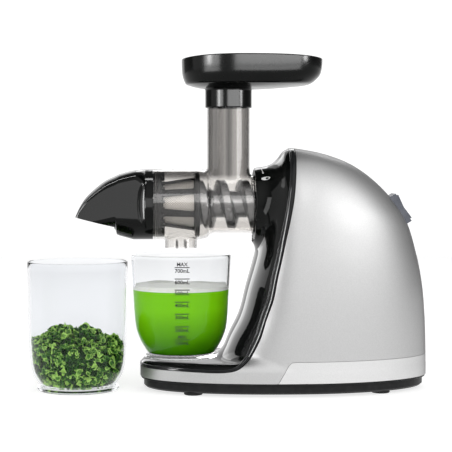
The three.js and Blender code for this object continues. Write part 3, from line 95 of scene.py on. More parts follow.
# Share of the height, then of the reach to the tail, of the reach to the flare's foot, of the width
HOUSING_SHARES = [
    (0.135, 0.999, 1.0, 1.0),
    (0.165, 0.998, 0.965, 1.0),
    (0.229, 0.995, 0.879, 0.999),
    (0.317, 0.988, 0.738, 0.993),
    (0.43, 0.97, 0.639, 0.974),
    (0.561, 0.925, 0.518, 0.93),
    (0.702, 0.847, 0.433, 0.846),
    (0.796, 0.733, 0.331, 0.754),
    (0.88, 0.583, 0.229, 0.63),
    (0.937, 0.433, 0.172, 0.498),
    (0.971, 0.285, 0.127, 0.37),
    (0.992, 0.137, 0.079, 0.226),
]
# Heights below those, as shares, where the housing runs on straight down inside the platform
HOUSING_LOW_SHARES = (0.01, 0.07)
HOUSING_STEPS = 10
# Front edge of the silver shell from the side: shares of the crest's X and of the height
EDGE_SHARES = [
    (0.465, 0.11),
    (0.533, 0.129),
    (0.587, 0.152),
    (0.638, 0.193),
    (0.68, 0.235),
    (0.734, 0.315),
    (0.792, 0.394),
    (0.826, 0.474),
    (0.866, 0.554),
    (0.903, 0.633),
    (0.943, 0.713),
    (0.977, 0.793),
    (0.998, 0.872),
    (1.016, 0.971),
]
EDGE_START_SHARE = 0.36
EDGE_LEAD = 60.0
EDGE_LEAN = 0.5
EDGE_OVERRUN = 30.0

# Trim strip, which widens above the band, with a sunk groove at one edge and a bead at the other
TRIM_WIDTH = 7.0
TRIM_PROUD = 0.7
TRIM_LOW_SHARE = 0.55
TRIM_WIDENING = 30.0
TRIM_GROOVE = 1.0
TRIM_BEAD = 1.7
TRIM_SUNK = -1.6
# At the groove: share of the groove, then of the strip's width, then height over the housing
TRIM_GROOVE_ROWS = [(0, 0, TRIM_SUNK), (0.9, 0, TRIM_SUNK), (1, 0, 0.1), (1, 0.04, 0.42), (1, 0.1, 0.55)]
TRIM_CREST_SHARES = (0.35, 0.5)
# At the bead, back from the strip's far edge: share of the bead, of the strip's width, then height
TRIM_BEAD_ROWS = [
    (1, 0.12, 0.62), (1, 0.05, 0.45), (1, 0, 0.2), (0.85, 0, 0.42), (0.62, 0, 0.68), (0.4, 0, 0.7),
    (0.18, 0, 0.42), (0.04, 0, 0.0), (0, 0, TRIM_SUNK),
]
# Where the strip crosses over the crest from one side to the other
TRIM_CROSSING_DEPTH = 4.0
TRIM_CROSSING_SETBACK = 3.0
TRIM_CROSSING_SHARE = 0.97
TRIM_CROSSING_BULGE = 0.6
TRIM_CROSSING_START = 150.0

# Base tray rings: height and how far in from the platform's outline. Foot: height and radius.
BASE_RINGS = [
    (3.0, 7.5), (3.4, 6.2), (5.5, 4.0), (12.6, 4.0), (13.0, 1.4), (13.4, 1.0), (14.7, 1.0), (15.0, 1.4),
    (15.0, 6.5), (5.5, 6.5),
]
FOOT_PROFILE = [(0, 4.5), (0, 9.4), (0.5, 10.0), (2.7, 10.0), (2.7, 2.1), (1.6, 2.1), (1.6, 4.5)]
FOOT_PLACES = [(12.0, -45.0), (12.0, 45.0), (215.0, -42.0), (215.0, 42.0)]

# Hole for the switch, in a plane tilted with the housing's back
SWITCH_MIDDLE = (243.0, 0.0, 198.5)
SWITCH_TILT_DEGREES = 31.0
SWITCH_HALF_HEIGHT = 17.8
SWITCH_HALF_WIDTH = 13.3
SWITCH_HOLE_DEPTH = 30.0
SWITCH_EDGE_ROUND = 0.7

# Neck, with the ends that are hidden in the mouth and in the housing
AUGER_HEIGHT = HOUSING_HEIGHT - AXIS_DEPTH
NECK_MOUTH_X = 80.0
NECK_LENGTH = 34.0
NECK_END_RADIUS = 52.0
NECK_SHARES = [(0, 0.751), (0.025, 0.764), (0.27, 0.789), (0.53, 0.822), (0.79, 0.885), (0.91, 0.94), (1, 1)]
NECK_LEAD = 9.0
NECK_OVERRUN = 10.0
NECK_END_STEP = 1.0
NECK_ROOT_X = CREST_X + 40.0
NECK_ROOT_RADIUS = 30.0
MOUTH_CUT_RADIUS = 42.0
MOUTH_CUT_REACH = 6.0
MOUTH_CUT_SETBACK = 1.0
MOUTH_RIM_MIDDLE = (1.6, 38.35)
MOUTH_RIM_ROUND = (1.4, 1.15)
MOUTH_RIM_BACK = [(3.5, 39.4), (3.5, 37.3)]

# Drum. Its three open ends are made longer and then cut.
DRUM_FRONT_X = -30.4
BELL_RADIUS = 38.7
BELL_END_X = 22.0
BARREL_START_X = 35.0
BARREL_RADIUS = 31.8
DRUM_END_X = 93.0
DRUM_WALL = 2.4
CHUTE_X = 52.4
CHUTE_RADIUS = 23.4
CHUTE_TOP = AUGER_HEIGHT + 123.0
CHUTE_ROOT = AUGER_HEIGHT + 15.0
SPOUT_RADIUS = 17.6
SPOUT_BOTTOM = AUGER_HEIGHT - 47.8
SPOUT_ROOT = AUGER_HEIGHT - 20.0
DRUM_OVERRUN = 8.0
DRUM_VOXEL = 1.1
DRUM_BLEND = 4.0
SPOUT_BLEND = 1.5
SHOULDER_REACH = 12.0
# Shoulder: distance from the bell's end and fall below its radius, then both from the barrel's start
BELL_SHOULDER = [(-8.0, 0.0), (0.0, 0.1), (6.5, 1.9)]
BARREL_SHOULDER = [(-3.0, -1.6), (1.5, 0.0), (8.0, 0.0)]
DRUM_TAIL_START = 0.4
DRUM_TAIL_RADIUS = 30.5
DRUM_TAIL_EDGE = 1.0

# The darker streaks are painted shade of refraction in the curved walls, the lighter ones painted reflection,
# and the spout's thin dark lines painted shade where its ribs stand
# Streaks across spout and chute, painted light: share of the width, share of light that one wall lets through
SPOUT_PAINTED_STREAKS = [
    (0, 0.3), (0.05, 0.6), (0.09, 0.84), (0.32, 0.88), (0.35, 0.3), (0.39, 0.3), (0.42, 0.86), (0.59, 0.84),
    (0.62, 0.3), (0.66, 0.3), (0.69, 0.86), (0.91, 0.84), (0.95, 0.6), (1, 0.3),
]
CHUTE_PAINTED_STREAKS = [
    (0.0, 0.3), (0.1, 0.42), (0.2, 0.37), (0.44, 0.54), (0.47, 0.31), (0.53, 0.32), (0.57, 0.5), (0.74, 0.64),
    (0.9, 0.4), (1.0, 0.36),
]
SPOUT_TINT = (1.0, 0.985, 0.97)
CHUTE_TINT = (1.0, 0.975, 0.95)
# Where the spout's and the chute's painted streaks take over from the drum's tint
SPOUT_PAINTED_STREAKS_START = AUGER_HEIGHT - BELL_RADIUS - 0.5
SPOUT_PAINTED_STREAKS_FULL = AUGER_HEIGHT - BELL_RADIUS - 1.5
CHUTE_PAINTED_STREAKS_START = AUGER_HEIGHT + BARREL_RADIUS - 6.0
CHUTE_PAINTED_STREAKS_FULL = AUGER_HEIGHT + BARREL_RADIUS + 1.0

# Strainer
STRAINER_FRONT_X = -26.0
STRAINER_REAR_X = 20.0
CONE_FRONT_RADIUS = 23.4
CONE_REAR_RADIUS = 30.0
CONE_WALL = 2.3
CAGE_WALL = CONE_WALL - 0.4
SCREEN_WALL = 0.8
SCREEN_PLAY = 0.3
MESH_RADIUS = 26.0
STRAINER_RING = 4.6
STRAINER_HOLE_RADIUS = 16.0
STRAINER_LAP = 0.5
RIM_RADIUS = BELL_RADIUS - DRUM_WALL - 0.45
RIM_EDGE = (0.5, 0.6)
RIM_FRONT_EDGE = (0.6, 0.8)
WINDOW_COUNT = 7
WINDOW_END_MARGIN = 1.8
WINDOW_CORNER = 2.0
WINDOW_HALF_DEGREES = 15.4
WINDOW_FLARE_DEGREES = 4.6
WINDOW_TURN_DEGREES = -5.0
LUG_COUNT = 30
LUG_LENGTH = 3.4
LUG_LAP = 0.4
LUG_HALF_WIDTH = 1.3
LUG_DEPTHS = (3.2, 0.2)

# Auger
FLIGHT_RADIUS = 26.5
FLIGHT_PITCH = 25.0
FLIGHT_SHARE = 0.3
CORE_RADIUS = 14.8
AUGER_END_X = 86.0
AUGER_END_STEP = 1.0
TIP_X = -45.0
TIP_RADIUS = 5.6
TIP_EDGE = 0.8
TIP_LENGTH = 5.8
NOSE_X = -36.0
NOSE_RADIUS = 12.5
NOSE_START_RADIUS = 9.0
NOSE_SHOULDER = (3.0, 12.0)
RIDGE_HEIGHT = 1.4
SCREEN_GAP = 1.0
COLLAR_RADIUS = 8.5
HEX_RADIUS = 7.2
HEX_DEPTH = 20.0

# Snout
CAP_JOINT_X = DRUM_FRONT_X - 0.3
LIP_X = DRUM_FRONT_X - 41.6
SNOUT_TIP_X = DRUM_FRONT_X - 84.0
CAP_WALL = 2.5
# Share of the length, then of the bell's radius: top, half width, height of the widest place, bottom
SNOUT_SHARES = [
    (0, 1, 1, 0, -1),
    (0.1, 0.995, 0.995, 0, -1),
    (0.254, 0.957, 0.957, 0, -1),
    (0.434, 0.856, 0.9, -0.05, -0.892),
    (0.472, 0.82, 0.887, -0.08, -0.858),
    (0.493, 0.797, 0.88, -0.1, -0.72),
    (0.62, 0.665, 0.833, -0.21, -0.72),
    (0.76, 0.43, 0.77, -0.33, -0.72),
    (0.87, 0.2, 0.72, -0.4, -0.72),
    (0.95, -0.06, 0.67, -0.44, -0.72),
    (1, -0.3, 0.62, -0.46, -0.72),
]
SNOUT_POWER = 3.4
SNOUT_POWER_RAMP = 0.12
SNOUT_FLAT_SHARE = 0.86
SNOUT_FREE_SHARE = 1.2
SNOUT_FLAT_START = 0.1
SNOUT_FLAT_RAMP = 0.012
SNOUT_EDGE_ROUND = 3.0
GRIP_START = 0.08
GRIP_REACH = 0.14
GRIP_HALF_HEIGHT = 26.0
GRIP_DEPTH = 2.0
MOUTH_FRONT_SHARE = -0.36
MOUTH_REAR_SHARE = -0.634
SNOUT_MIDDLE = (CAP_JOINT_X - 30.0, 0.0, AUGER_HEIGHT - 10.0)
SPIGOT_RADIUS = BELL_RADIUS - DRUM_WALL - 0.7
SPIGOT_REACH = 2.4
SPIGOT_FLANGE = (1.0, 0.3)
WELD_REACH = 0.01
# Hub in the snout for the auger's tip
HUB_BORE = 8.2
HUB_RADIUS = 11.0
HUB_EDGE = (0.5, 0.4)
HUB_LENGTH = 8.0
SPOKE_COUNT = 3
SPOKE_HALF_WIDTH = 2.0
SPOKE_START = 9.5
SPOKE_END = 0.76 * BELL_RADIUS

# Hopper tray
COLLAR_OUTER = CHUTE_RADIUS + 0.3 + 1.8
COLLAR_BOTTOM = CHUTE_TOP - 17.5
TRAY_FLOOR = CHUTE_TOP + 3.3
TRAY_DEPTH = 32.2
TRAY_CROWN = 3.0
TRAY_WALL = 2.5
TRAY_FRONT_REACH = 51.4
TRAY_REAR_REACH = 102.6
TRAY_HALF_WIDTH = 56.0
TRAY_WIDEST = 17.6
TRAY_POWERS = (2.3, 2.8)
TRAY_SHARES = [
    (0.3, 0.035), (0.62, 0.1), (0.82, 0.165), (0.9, 0.29), (0.96, 0.45), (0.985, 0.62), (0.997, 0.82), (1, 1),
]
TRAY_INNER_TOP = 0.97
TRAY_HOLE_RADIUS = CHUTE_RADIUS - 2.4
TRAY_SEAT_RADIUS = CHUTE_RADIUS + 0.3
# Collar below the tray and hole through it, as (radius, height)
COLLAR_ROWS = [
    (COLLAR_OUTER - 0.7, COLLAR_BOTTOM), (COLLAR_OUTER, COLLAR_BOTTOM + 0.7),
    (COLLAR_OUTER, COLLAR_BOTTOM + 1.0), (COLLAR_OUTER, TRAY_FLOOR - 2.4),
    (COLLAR_OUTER, TRAY_FLOOR - 2.0), (COLLAR_OUTER + 0.3, TRAY_FLOOR - 0.6),
]
HOLE_TOP = TRAY_FLOOR + TRAY_WALL
HOLE_ROWS = [
    (TRAY_HOLE_RADIUS + 1.2, HOLE_TOP + 0.2), (TRAY_HOLE_RADIUS + 0.3, HOLE_TOP - 0.3),
    (TRAY_HOLE_RADIUS, HOLE_TOP - 1.2), (TRAY_HOLE_RADIUS, CHUTE_TOP + 0.3),
    (TRAY_SEAT_RADIUS, CHUTE_TOP + 0.3), (TRAY_SEAT_RADIUS, COLLAR_BOTTOM),
]

# Cups
CUP_RADIUS = 54.9
CUP_WALL = 2.2
CUP_FLOOR = 5.0
CUP_FOOT_HEIGHT = 4.5
CUP_FOOT_WIDTH = 4.5
CUP_FOOT_SETBACK = 5.2
CUP_INNER_MARGINS = (0.4, 0.5)
# Foot ring: height and distance from its inner face, then from its outer face, then down from its top
CUP_FOOT_INNER = [(1.5, -0.6), (0.9, 0.0), (0.2, 0.4), (0.0, 1.0)]
CUP_FOOT_OUTER = [(0.0, 1.3), (0.35, 0.5), (1.2, 0.0)]
CUP_FOOT_UPPER = [(1.4, 0.0), (0.5, 0.6), (0.1, 2.2)]
CUP_UNDERSIDE = 1.5
# Rounding of the cup's floor inside: height over the floor and distance from the wall
CUP_FLOOR_ROUND = [(0.15, 1.4), (0.0, 4.0)]
JUICE_CUP_BASE = PLATFORM_TOP + 0.3
JUICE_CUP_HEIGHT = SPOUT_BOTTOM - 7.1 - JUICE_CUP_BASE
PULP_CUP_HEIGHT = AUGER_HEIGHT - 62.2
PULP_CUP_X = -(2 * CUP_RADIUS + 3.5)
JUICE_FOOT = 41.8
PULP_FOOT = 44.8
# Outline above the foot: shares of the radius and of the height
JUICE_CUP_SHARES = [(0.696, 0.059), (0.814, 0.157), (0.891, 0.256), (0.925, 0.353), (0.964, 0.647)]
PULP_CUP_SHARES = [(0.765, 0.046), (0.871, 0.109), (0.911, 0.148), (0.949, 0.226), (0.976, 0.381)]
JUICE_CUP_FORM = (JUICE_CUP_HEIGHT, JUICE_FOOT, JUICE_CUP_SHARES)
PULP_CUP_FORM = (PULP_CUP_HEIGHT, PULP_FOOT, PULP_CUP_SHARES)

# Juice, which reaches a little into the cup's wall, and its foam
JUICE_LEVEL = 74.0
JUICE_IN_WALL = 1.3
JUICE_SUNK = 0.2
JUICE_FLOOR_STEP = 3.0
JUICE_EDGE_STEP = (0.3, 0.6)
JUICE_TOP_SHARE = 0.6
JUICE_TINT_HEIGHTS = (40.0, 110.0)
FOAM_LIFT = 2.6
FOAM_WAVES = [(3, 0.9, 0.7), (7, 0.5, 0.0)]
# Foam rings: height over the juice, share of the radius, share of the lift
FOAM_RINGS = [
    (0.05, 0.2, 0.0), (0.05, 1.0, 0.0), (1.2, 1.0, 0.0), (2.0, 1.0, 1.0), (1.9, 0.985, 0.9), (2.2, 0.94, 0.3),
    (2.3, 0.8, 0.1), (2.3, 0.62, 0.1), (2.3, 0.4, 0.1), (2.3, 0.2, 0.1),
]

# Heap of greens: its edge and top, how much it leans, and the lumps across it (place, extra height)
HEAP_REACH = 50.0
HEAP_EDGE = 0.36 * PULP_CUP_HEIGHT
HEAP_TOP = 0.485 * PULP_CUP_HEIGHT
HEAP_LEAN = 0.025 * PULP_CUP_HEIGHT
HEAP_SHARES = [(0, 1), (0.3, 0.96), (0.56, 0.68), (0.76, 0.36), (0.92, 0.14), (1, 0)]
HEAP_LUMPS = [
    (-49, 0), (-38, -2), (-29, 1), (-15, 1.6), (-3, -6), (6, 1), (18, -1), (31, -3.6), (40, 4.4), (49, 0),
]
HEAP_SIDES = 64
# Core under the scraps, painted dark as the shade between them: its distance from the wall and from the
# heap's top
CORE_WALL_GAP = 3.5
CORE_EDGE_GAP = 3.0
CORE_DEPTH = 4.5
CORE_SHOULDER = 14.0
CORE_SHADE_TONE = 0.05
# Scraps of leaf along the wall and on top: how many, how long, how deep in the wall, how high
LEAF_TIPS = 11
LEAF_LEAST_WALL = 0.5
SIDE_SCRAPS = 900
SIDE_SCRAP_SIZES = (2.6, 5.4)
SIDE_SCRAP_DEPTHS = (0.8, 3.4)
SIDE_SCRAP_RISE = 6.0
TOP_SCRAPS = 560
TOP_SCRAP_SIZES = (2.8, 5.8)
TOP_SCRAP_HEIGHTS = (-3.2, 0.4)
SCRAP_WALL_GAP = 0.25
SCRAP_FLOOR_GAP = 0.2
HEAP_FLOOR_GAP = 0.3
SCRAP_LEAST_HEIGHT = 0.5
SIDE_SCRAP_START = 1.5

# Scale on the juice cup: heights of its lines, their size, the figures' size and the step down to them
SCALE_LINES = {
    "700mL": 137.1, "600mL": 124.9, "500mL": 113.0, "400mL": 100.1, "300mL": 87.2, "200mL": 73.4,
    "100mL": 59.1,
}
SCALE_LINE_SIZE = (16.0, 1.0)
SCALE_FIGURE_SIZE = 5.7
SCALE_FIGURE_DROP = 5.5
# Words beside the highest and the lowest line: their size and the step up to them
SCALE_ENDS = {"MAX": ("700mL", 5.4, 1.5), "MIN": ("100mL", 5.0, 1.4)}
SCALE_LIFT = 0.06

# Marks on the neck, as (X, degrees up from the middle of its left side)
MARK_LIFT = 0.12
MARK_RAY_START = 70.0
MARK_LINE = [(86.6, 82.0), (88.6, 58.0)]
MARK_LINE_HALF_WIDTH = 0.35
MARK_LINE_STEPS = 10
# A middle and how far it reaches to each side
MARK_DOT = (88.7, 56.5, 0.95, 1.35)
MARK_OVAL = (91.0, 43.5, 4.8, 3.4)
MARK_OVAL_HOLE = (92.6, 43.5, 1.7, 2.0)

# From the drawing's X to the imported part's X
TAIL_X = CREST_X + TAIL_REACH
ORIGIN_X = (PULP_CUP_X - CUP_RADIUS + TAIL_X) / 2
BOX_LOW = np.array(CAD_LOW) / MM + (ORIGIN_X, 0, 0)
BOX_HIGH = np.array(CAD_HIGH) / MM + (ORIGIN_X, 0, 0)

# Camera of the photograph, in metres and degrees
CAMERA_PLACE = (-0.0859, -1.506, 0.246)
CAMERA_YAW_DEGREES = 3.18
CAMERA_DIP_DEGREES = 2.55
CAMERA_LENS = 109.1
CAMERA_SENSOR = 36.0


# Numbers, curves and grids

def held(share):
    """The share, kept between 0 and 1."""
    return max(0.0, min(1.0, share))


def eased(share):
    """A share that starts and ends gently."""
    return share * share * (3 - 2 * share)


def bulged(value, reach, power):
    """Place along one axis of a superellipse, from the cosine or sine of its angle."""
    return math.copysign(reach * abs(value) ** (2 / power), value)


def directions(count):
    """Angle, cosine and sine of evenly spaced directions round a circle."""
    for i in range(count):
        angle = 2 * math.pi * i / count
        yield angle, math.cos(angle), math.sin(angle)


def reader(rows):
    """A function that reads the second column of the rows at a value of the first."""
    places, values = np.array(rows, float).T[:2]
    return lambda at: float(np.interp(at, places, values))


def curve_through(points, steps):
    """Smooth curve through the points, in any number of dimensions, as an array."""
    points = np.array(points, float)
    padded = np.vstack([2 * points[0] - points[1], points, 2 * points[-1] - points[-2]])
    tiny = 1e-9
    out = []
    for i in range(1, len(padded) - 2):
        a, b, c, d = padded[i - 1:i + 3]
        t0 = 0.0
        t1 = t0 + max(np.linalg.norm(b - a), tiny) ** 0.5
        t2 = t1 + max(np.linalg.norm(c - b), tiny) ** 0.5
        t3 = t2 + max(np.linalg.norm(d - c), tiny) ** 0.5
        for step in range(steps):
            t = t1 + (t2 - t1) * step / steps
            ab = a + (b - a) * (t - t0) / (t1 - t0)
            bc = b + (c - b) * (t - t1) / (t2 - t1)
            cd = c + (d - c) * (t - t2) / (t3 - t2)
            abc = ab + (bc - ab) * (t - t0) / (t2 - t0)
            bcd = bc + (cd - bc) * (t - t1) / (t3 - t1)
            out.append(abc + (bcd - abc) * (t - t1) / (t2 - t1))
    out.append(points[-1])
    return np.array(out)


def runs_along(line):
    """Direction of a line at each of its points."""
    runs = np.gradient(line, axis=0)
    return runs / np.linalg.norm(runs, axis=1)[:, None]


def loft(rings, closed_ends=True, looped=False):
    """Vertices and faces of a skin through rings of equal length; a ring of one point is a tip."""
    verts, faces, starts = [], [], []
    for ring in rings:
        starts.append(len(verts))
        verts.extend([tuple(p) for p in ring])
    count = max(len(ring) for ring in rings)
    links = len(rings) if looped else len(rings) - 1
    for r in range(links):
        low, high = starts[r], starts[(r + 1) % len(rings)]
        low_tip = len(rings[r]) == 1
        high_tip = len(rings[(r + 1) % len(rings)]) == 1
        for i in range(count):
            j = (i + 1) % count
            if high_tip:
                faces.append((low + i, low + j, high))
            elif low_tip:
                faces.append((low, high + j, high + i))
            else:
                faces.append((low + i, low + j, high + j, high + i))
    if closed_ends and not looped:
        if len(rings[0]) > 1:
            faces.append(tuple(range(starts[0] + count - 1, starts[0] - 1, -1)))
        if len(rings[-1]) > 1:
            faces.append(tuple(range(starts[-1], starts[-1] + count)))
    return np.array(verts, float), faces


def lathe(profile, sides, axis="X", center=(0, 0, AUGER_HEIGHT), looped=False):
    """Turned skin about X or Z through a centre. The profile lists (distance along, radius)."""
    rings = []
    for along, radius in profile:
        ring = []
        for _, cosine, sine in directions(sides if radius > 0 else 1):
            u, v = radius * cosine, radius * sine
            point = (u, v, along) if axis == "Z" else (along, u, v)
            ring.append(tuple(np.add(point, center)))
        rings.append(ring)
    return loft(rings, looped=looped)


def egg_ring(z, inset, form, sides):
    """Ring of a superellipse whose front and rear halves have their own reach and power."""
    middle, front, rear, half_width = form
    ring = []
    for _, cosine, sine in directions(sides):
        power = TAIL_POWER if cosine >= 0 else PLATFORM_POWER
        reach = rear - middle if cosine >= 0 else middle - front
        x = middle + bulged(cosine, reach - inset, power)
        ring.append((x, bulged(sine, half_width - inset, power), z))
    return ring


def merged(*parts):
    """Several skins as one list of vertices and faces."""
    verts, faces = [], []
    offset = 0
    for part_verts, part_faces in parts:
        verts.append(np.asarray(part_verts, float))
        faces.extend([tuple(i + offset for i in face) for face in part_faces])
        offset += len(part_verts)
    return np.vstack(verts), faces


def block(low, high):
    """A box between two corners."""
    (x0, y0, z0), (x1, y1, z1) = low, high
    verts = [(x0, y0, z0), (x1, y0, z0), (x1, y1, z0), (x0, y1, z0)]
    verts += [(x0, y0, z1), (x1, y0, z1), (x1, y1, z1), (x0, y1, z1)]
    faces = [(3, 2, 1, 0), (4, 5, 6, 7), (0, 1, 5, 4), (1, 2, 6, 5), (2, 3, 7, 6), (3, 0, 4, 7)]
    return verts, faces


def round_the_axis(skin, count):
    """Evenly spaced copies of a skin round the auger's axis, each drawn standing up from X."""
    copies = []
    for angle, _, _ in directions(count):
        turn = Matrix.Rotation(angle, 4, "X")
        turn.translation = Vector((0, 0, AUGER_HEIGHT))
        copies.append(([tuple(turn @ Vector(p)) for p in skin[0]], skin[1]))
    return copies


# Pieces

def put(name, data):
    """A new object in the scene."""
    obj = bpy.data.objects.new(name, data)
    bpy.context.scene.collection.objects.link(obj)
    return obj


def mesh_from(name, verts, faces):
    """A mesh from points in millimetres, its faces turned out."""
    mesh = bpy.data.meshes.new(name)
    mesh.from_pydata((np.array(verts, float) * MM).tolist(), [], [tuple(face) for face in faces])
    work = bmesh.new()
    work.from_mesh(mesh)
    bmesh.ops.recalc_face_normals(work, faces=work.faces)
    work.to_mesh(mesh)
    work.free()
    return mesh


def read_mesh(obj):
    """Vertices and faces of an object with its modifiers, after which the object is removed."""
    evaluated = obj.evaluated_get(bpy.context.evaluated_depsgraph_get())
    made = evaluated.to_mesh()
    coords = np.empty(len(made.vertices) * 3)
    made.vertices.foreach_get("co", coords)
    faces = [tuple(polygon.vertices) for polygon in made.polygons]
    evaluated.to_mesh_clear()
    bpy.data.objects.remove(obj)
    return coords.reshape(-1, 3), faces


def mark_sharp(mesh, degrees):
    """Smooth faces everywhere, with sharp edges where two faces turn by more than the angle."""
    bm = bmesh.new()
    bm.from_mesh(mesh)
    limit = math.radians(degrees)
    for face in bm.faces:
        face.smooth = True
    for edge in bm.edges:
        edge.smooth = len(edge.link_faces) == 2 and edge.calc_face_angle(0) < limit
    bm.to_mesh(mesh)
    bm.free()


def piece(name, skin, material, body, replaces=(), sharp=40):
    """A finished piece on a body, standing for the CAD nodes named, inside the CAD's box."""
    points = np.clip(skin[0], BOX_LOW, BOX_HIGH) - (ORIGIN_X, 0, 0)
    mesh = mesh_from(name, points, skin[1])
    mark_sharp(mesh, sharp)
    mesh.materials.append(material)
    obj = put(name, mesh)
    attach(obj, body)
    if replaces:
        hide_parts(*replaces)
    return obj


def remeshed(skin, voxel):
    """One closed skin round overlapping closed skins, made of small even faces."""
    mesh = mesh_from("working_skin", *skin)
    obj = put("working_skin", mesh)
    modifier = obj.modifiers.new("remesh", "REMESH")
    modifier.mode = "VOXEL"
    modifier.voxel_size = voxel * MM
    modifier.adaptivity = 0
    points, faces = read_mesh(obj)
    bpy.data.meshes.remove(mesh)
    return points / MM, faces


def bmesh_from(skin):
    mesh = bmesh.new()
    points = [mesh.verts.new(point) for point in skin[0]]
    for face in skin[1]:
        mesh.faces.new([points[i] for i in face])
    return mesh


class Form:
    """A closed smooth skin that tells how far a point lies outside it."""

    def __init__(self, skin):
        mesh = bmesh_from(skin)
        bmesh.ops.recalc_face_normals(mesh, faces=mesh.faces)
        bmesh.ops.triangulate(mesh, faces=mesh.faces)
        self.tree = BVHTree.FromBMesh(mesh)
        mesh.free()

    def probe(self, point):
        """Distance from the skin, negative inside it, and the direction straight out."""
        near, normal, _, gap = self.tree.find_nearest(point)
        side = 1.0 if (point - near).dot(normal) >= 0 else -1.0
        touching = 1e-6
        if gap < touching:
            return 0.0, normal
        return side * gap, (point - near) * (side / gap)


def settle(verts, forms, blends):
    """Moves points onto the smooth union of forms. Each form after the first has its own blend,
    a function of the place."""
    rounds, longest_step, least_slope = 3, 3.0, 0.3
    out = []
    for xyz in verts:
        point = Vector(xyz)
        for _ in range(rounds):
            value, slope = forms[0].probe(point)
            for form, blend_at in zip(forms[1:], blends):
                blend = blend_at(point)
                other, other_slope = form.probe(point)
                mix = held(0.5 + 0.5 * (value - other) / blend)
                value = value + (other - value) * mix - blend * mix * (1 - mix)
                slope = slope.lerp(other_slope, mix)
            length = max(slope.length, least_slope)
            move = slope * (-value / (length * length))
            if move.length > longest_step:
                move = move.normalized() * longest_step
            point = point + move
        out.append(tuple(point))
    return np.array(out)


def steady(blend):
    """The same blend everywhere."""
    return lambda point: blend


def clip(skin, values):
    """The part of a skin where the values at its vertices are positive, cut along zero."""
    verts, faces = skin
    values = np.asarray(values, float)
    least = 1e-4
    values[np.abs(values) < least] = least
    new_verts = [tuple(v) for v in verts]
    crossings = {}

    def crossing(a, b):
        key = (a, b) if a < b else (b, a)
        if key not in crossings:
            share = values[a] / (values[a] - values[b])
            crossings[key] = len(new_verts)
            new_verts.append(tuple(verts[a] + (verts[b] - verts[a]) * share))
        return crossings[key]

    kept = []
    inside = (values > 0).tolist()
    for face in faces:
        loop = []
        for a, b in zip(face, face[1:] + face[:1]):
            if inside[a]:
                loop.append(a)
            if inside[a] != inside[b]:
                loop.append(crossing(a, b))
        if len(loop) >= 3:
            kept.append(tuple(loop))
    used = sorted({i for face in kept for i in face})
    place = {old: new for new, old in enumerate(used)}
    points = np.array([new_verts[i] for i in used])
    return points, [tuple(place[i] for i in face) for face in kept]


def clipped(skin, *keeps):
    """The part of a skin where every one of the functions of its points is positive."""
    for keep in keeps:
        skin = clip(skin, keep(skin[0]))
    return skin


def skin_normals(skin, middle):
    """Area-weighted vertex normals of a skin, turned away from its middle."""
    verts, faces = skin
    normals = np.zeros_like(verts)
    for face in faces:
        points = verts[list(face)]
        around = np.roll(points, -1, axis=0)
        normal = np.cross(points, around).sum(axis=0)
        for i in face:
            normals[i] += normal
    lengths = np.linalg.norm(normals, axis=1)
    lengths[lengths == 0] = 1
    normals /= lengths[:, None]
    return normals if (normals * (verts - middle)).sum() >= 0 else -normals


def thicken(skin, wall, normals):
    """A closed wall from an open skin, grown inwards from it."""
    verts, faces = skin
    count = len(verts)
    out_faces = list(faces) + [tuple(i + count for i in reversed(face)) for face in faces]
    edges = {}
    for face in faces:
        for a, b in zip(face, face[1:] + face[:1]):
            if (b, a) in edges:
                del edges[(b, a)]
            else:
                edges[(a, b)] = True
    for a, b in edges:
        out_faces.append((b, a, a + count, b + count))
    return np.vstack([verts, verts - normals * wall]), out_faces


def walled(skin, wall, middle):
    """A closed wall from an open skin round a middle point."""
    return thicken(skin, wall, skin_normals(skin, np.array(middle)))


# Forms of the housing

def housing_rows():
    """Rows of the upper housing from below its joint to its crest, close together."""
    first = HOUSING_SHARES[0]
    rows = [(low,) + first[1:] for low in HOUSING_LOW_SHARES] + HOUSING_SHARES + [(1.0, 0.0, 0.0, 0.0)]
    for row in reversed(HOUSING_SHARES[-2:]):
        rows.append((row[0], -row[1], -row[2], -row[3]))
    sizes = (HOUSING_HEIGHT, TAIL_REACH, FLARE_REACH, HALF_WIDTH)
    dense = curve_through(np.array(rows) * sizes, HOUSING_STEPS)
    return dense[: HOUSING_STEPS * (len(rows) - 3) + 1]


def upper_housing(sides=192):
    rings = []
    for z, rear, front, half_width in housing_rows()[:-1]:
        setback = WIDEST_SETBACK * min(1.0, rear / (SETBACK_SHARE * TAIL_REACH))
        form = (CREST_X + setback, CREST_X - front, CREST_X + rear, half_width)
        rings.append(egg_ring(z, 0, form, sides))
    rings.append([(CREST_X, 0, HOUSING_HEIGHT)])
    return loft(rings)


PLATFORM_FORM = (CREST_X + WIDEST_SETBACK, PLATFORM_NOSE_X, TAIL_X, HALF_WIDTH)


def platform(sides=256):
    rows = [(z, 0) for z in np.linspace(PLATFORM_UNDERSIDE, BAND_TOP, 9)]
    for angle in np.linspace(0, math.pi / 2, 9)[1:]:
        z = BAND_TOP + (PLATFORM_TOP - BAND_TOP) * math.sin(angle)
        rows.append((z, PLATFORM_DRAW_IN * (1 - math.cos(angle))))
    rows += [(PLATFORM_TOP, inset) for inset in PLATFORM_INSETS]
    return loft([egg_ring(z, inset, PLATFORM_FORM, sides) for z, inset in rows])


def neck():
    rows = [(NECK_MOUTH_X + NECK_LENGTH * a, NECK_END_RADIUS * r) for a, r in NECK_SHARES]
    profile = curve_through([(NECK_MOUTH_X - NECK_LEAD, rows[0][1] - NECK_END_STEP)] + rows, 8).tolist()
    profile.append((NECK_MOUTH_X + NECK_LENGTH + NECK_OVERRUN, NECK_END_RADIUS - NECK_END_STEP))
    profile += [(NECK_ROOT_X, NECK_ROOT_RADIUS), (NECK_ROOT_X + NECK_END_STEP, 0)]
    return lathe([(profile[0][0], 0)] + profile, 144)


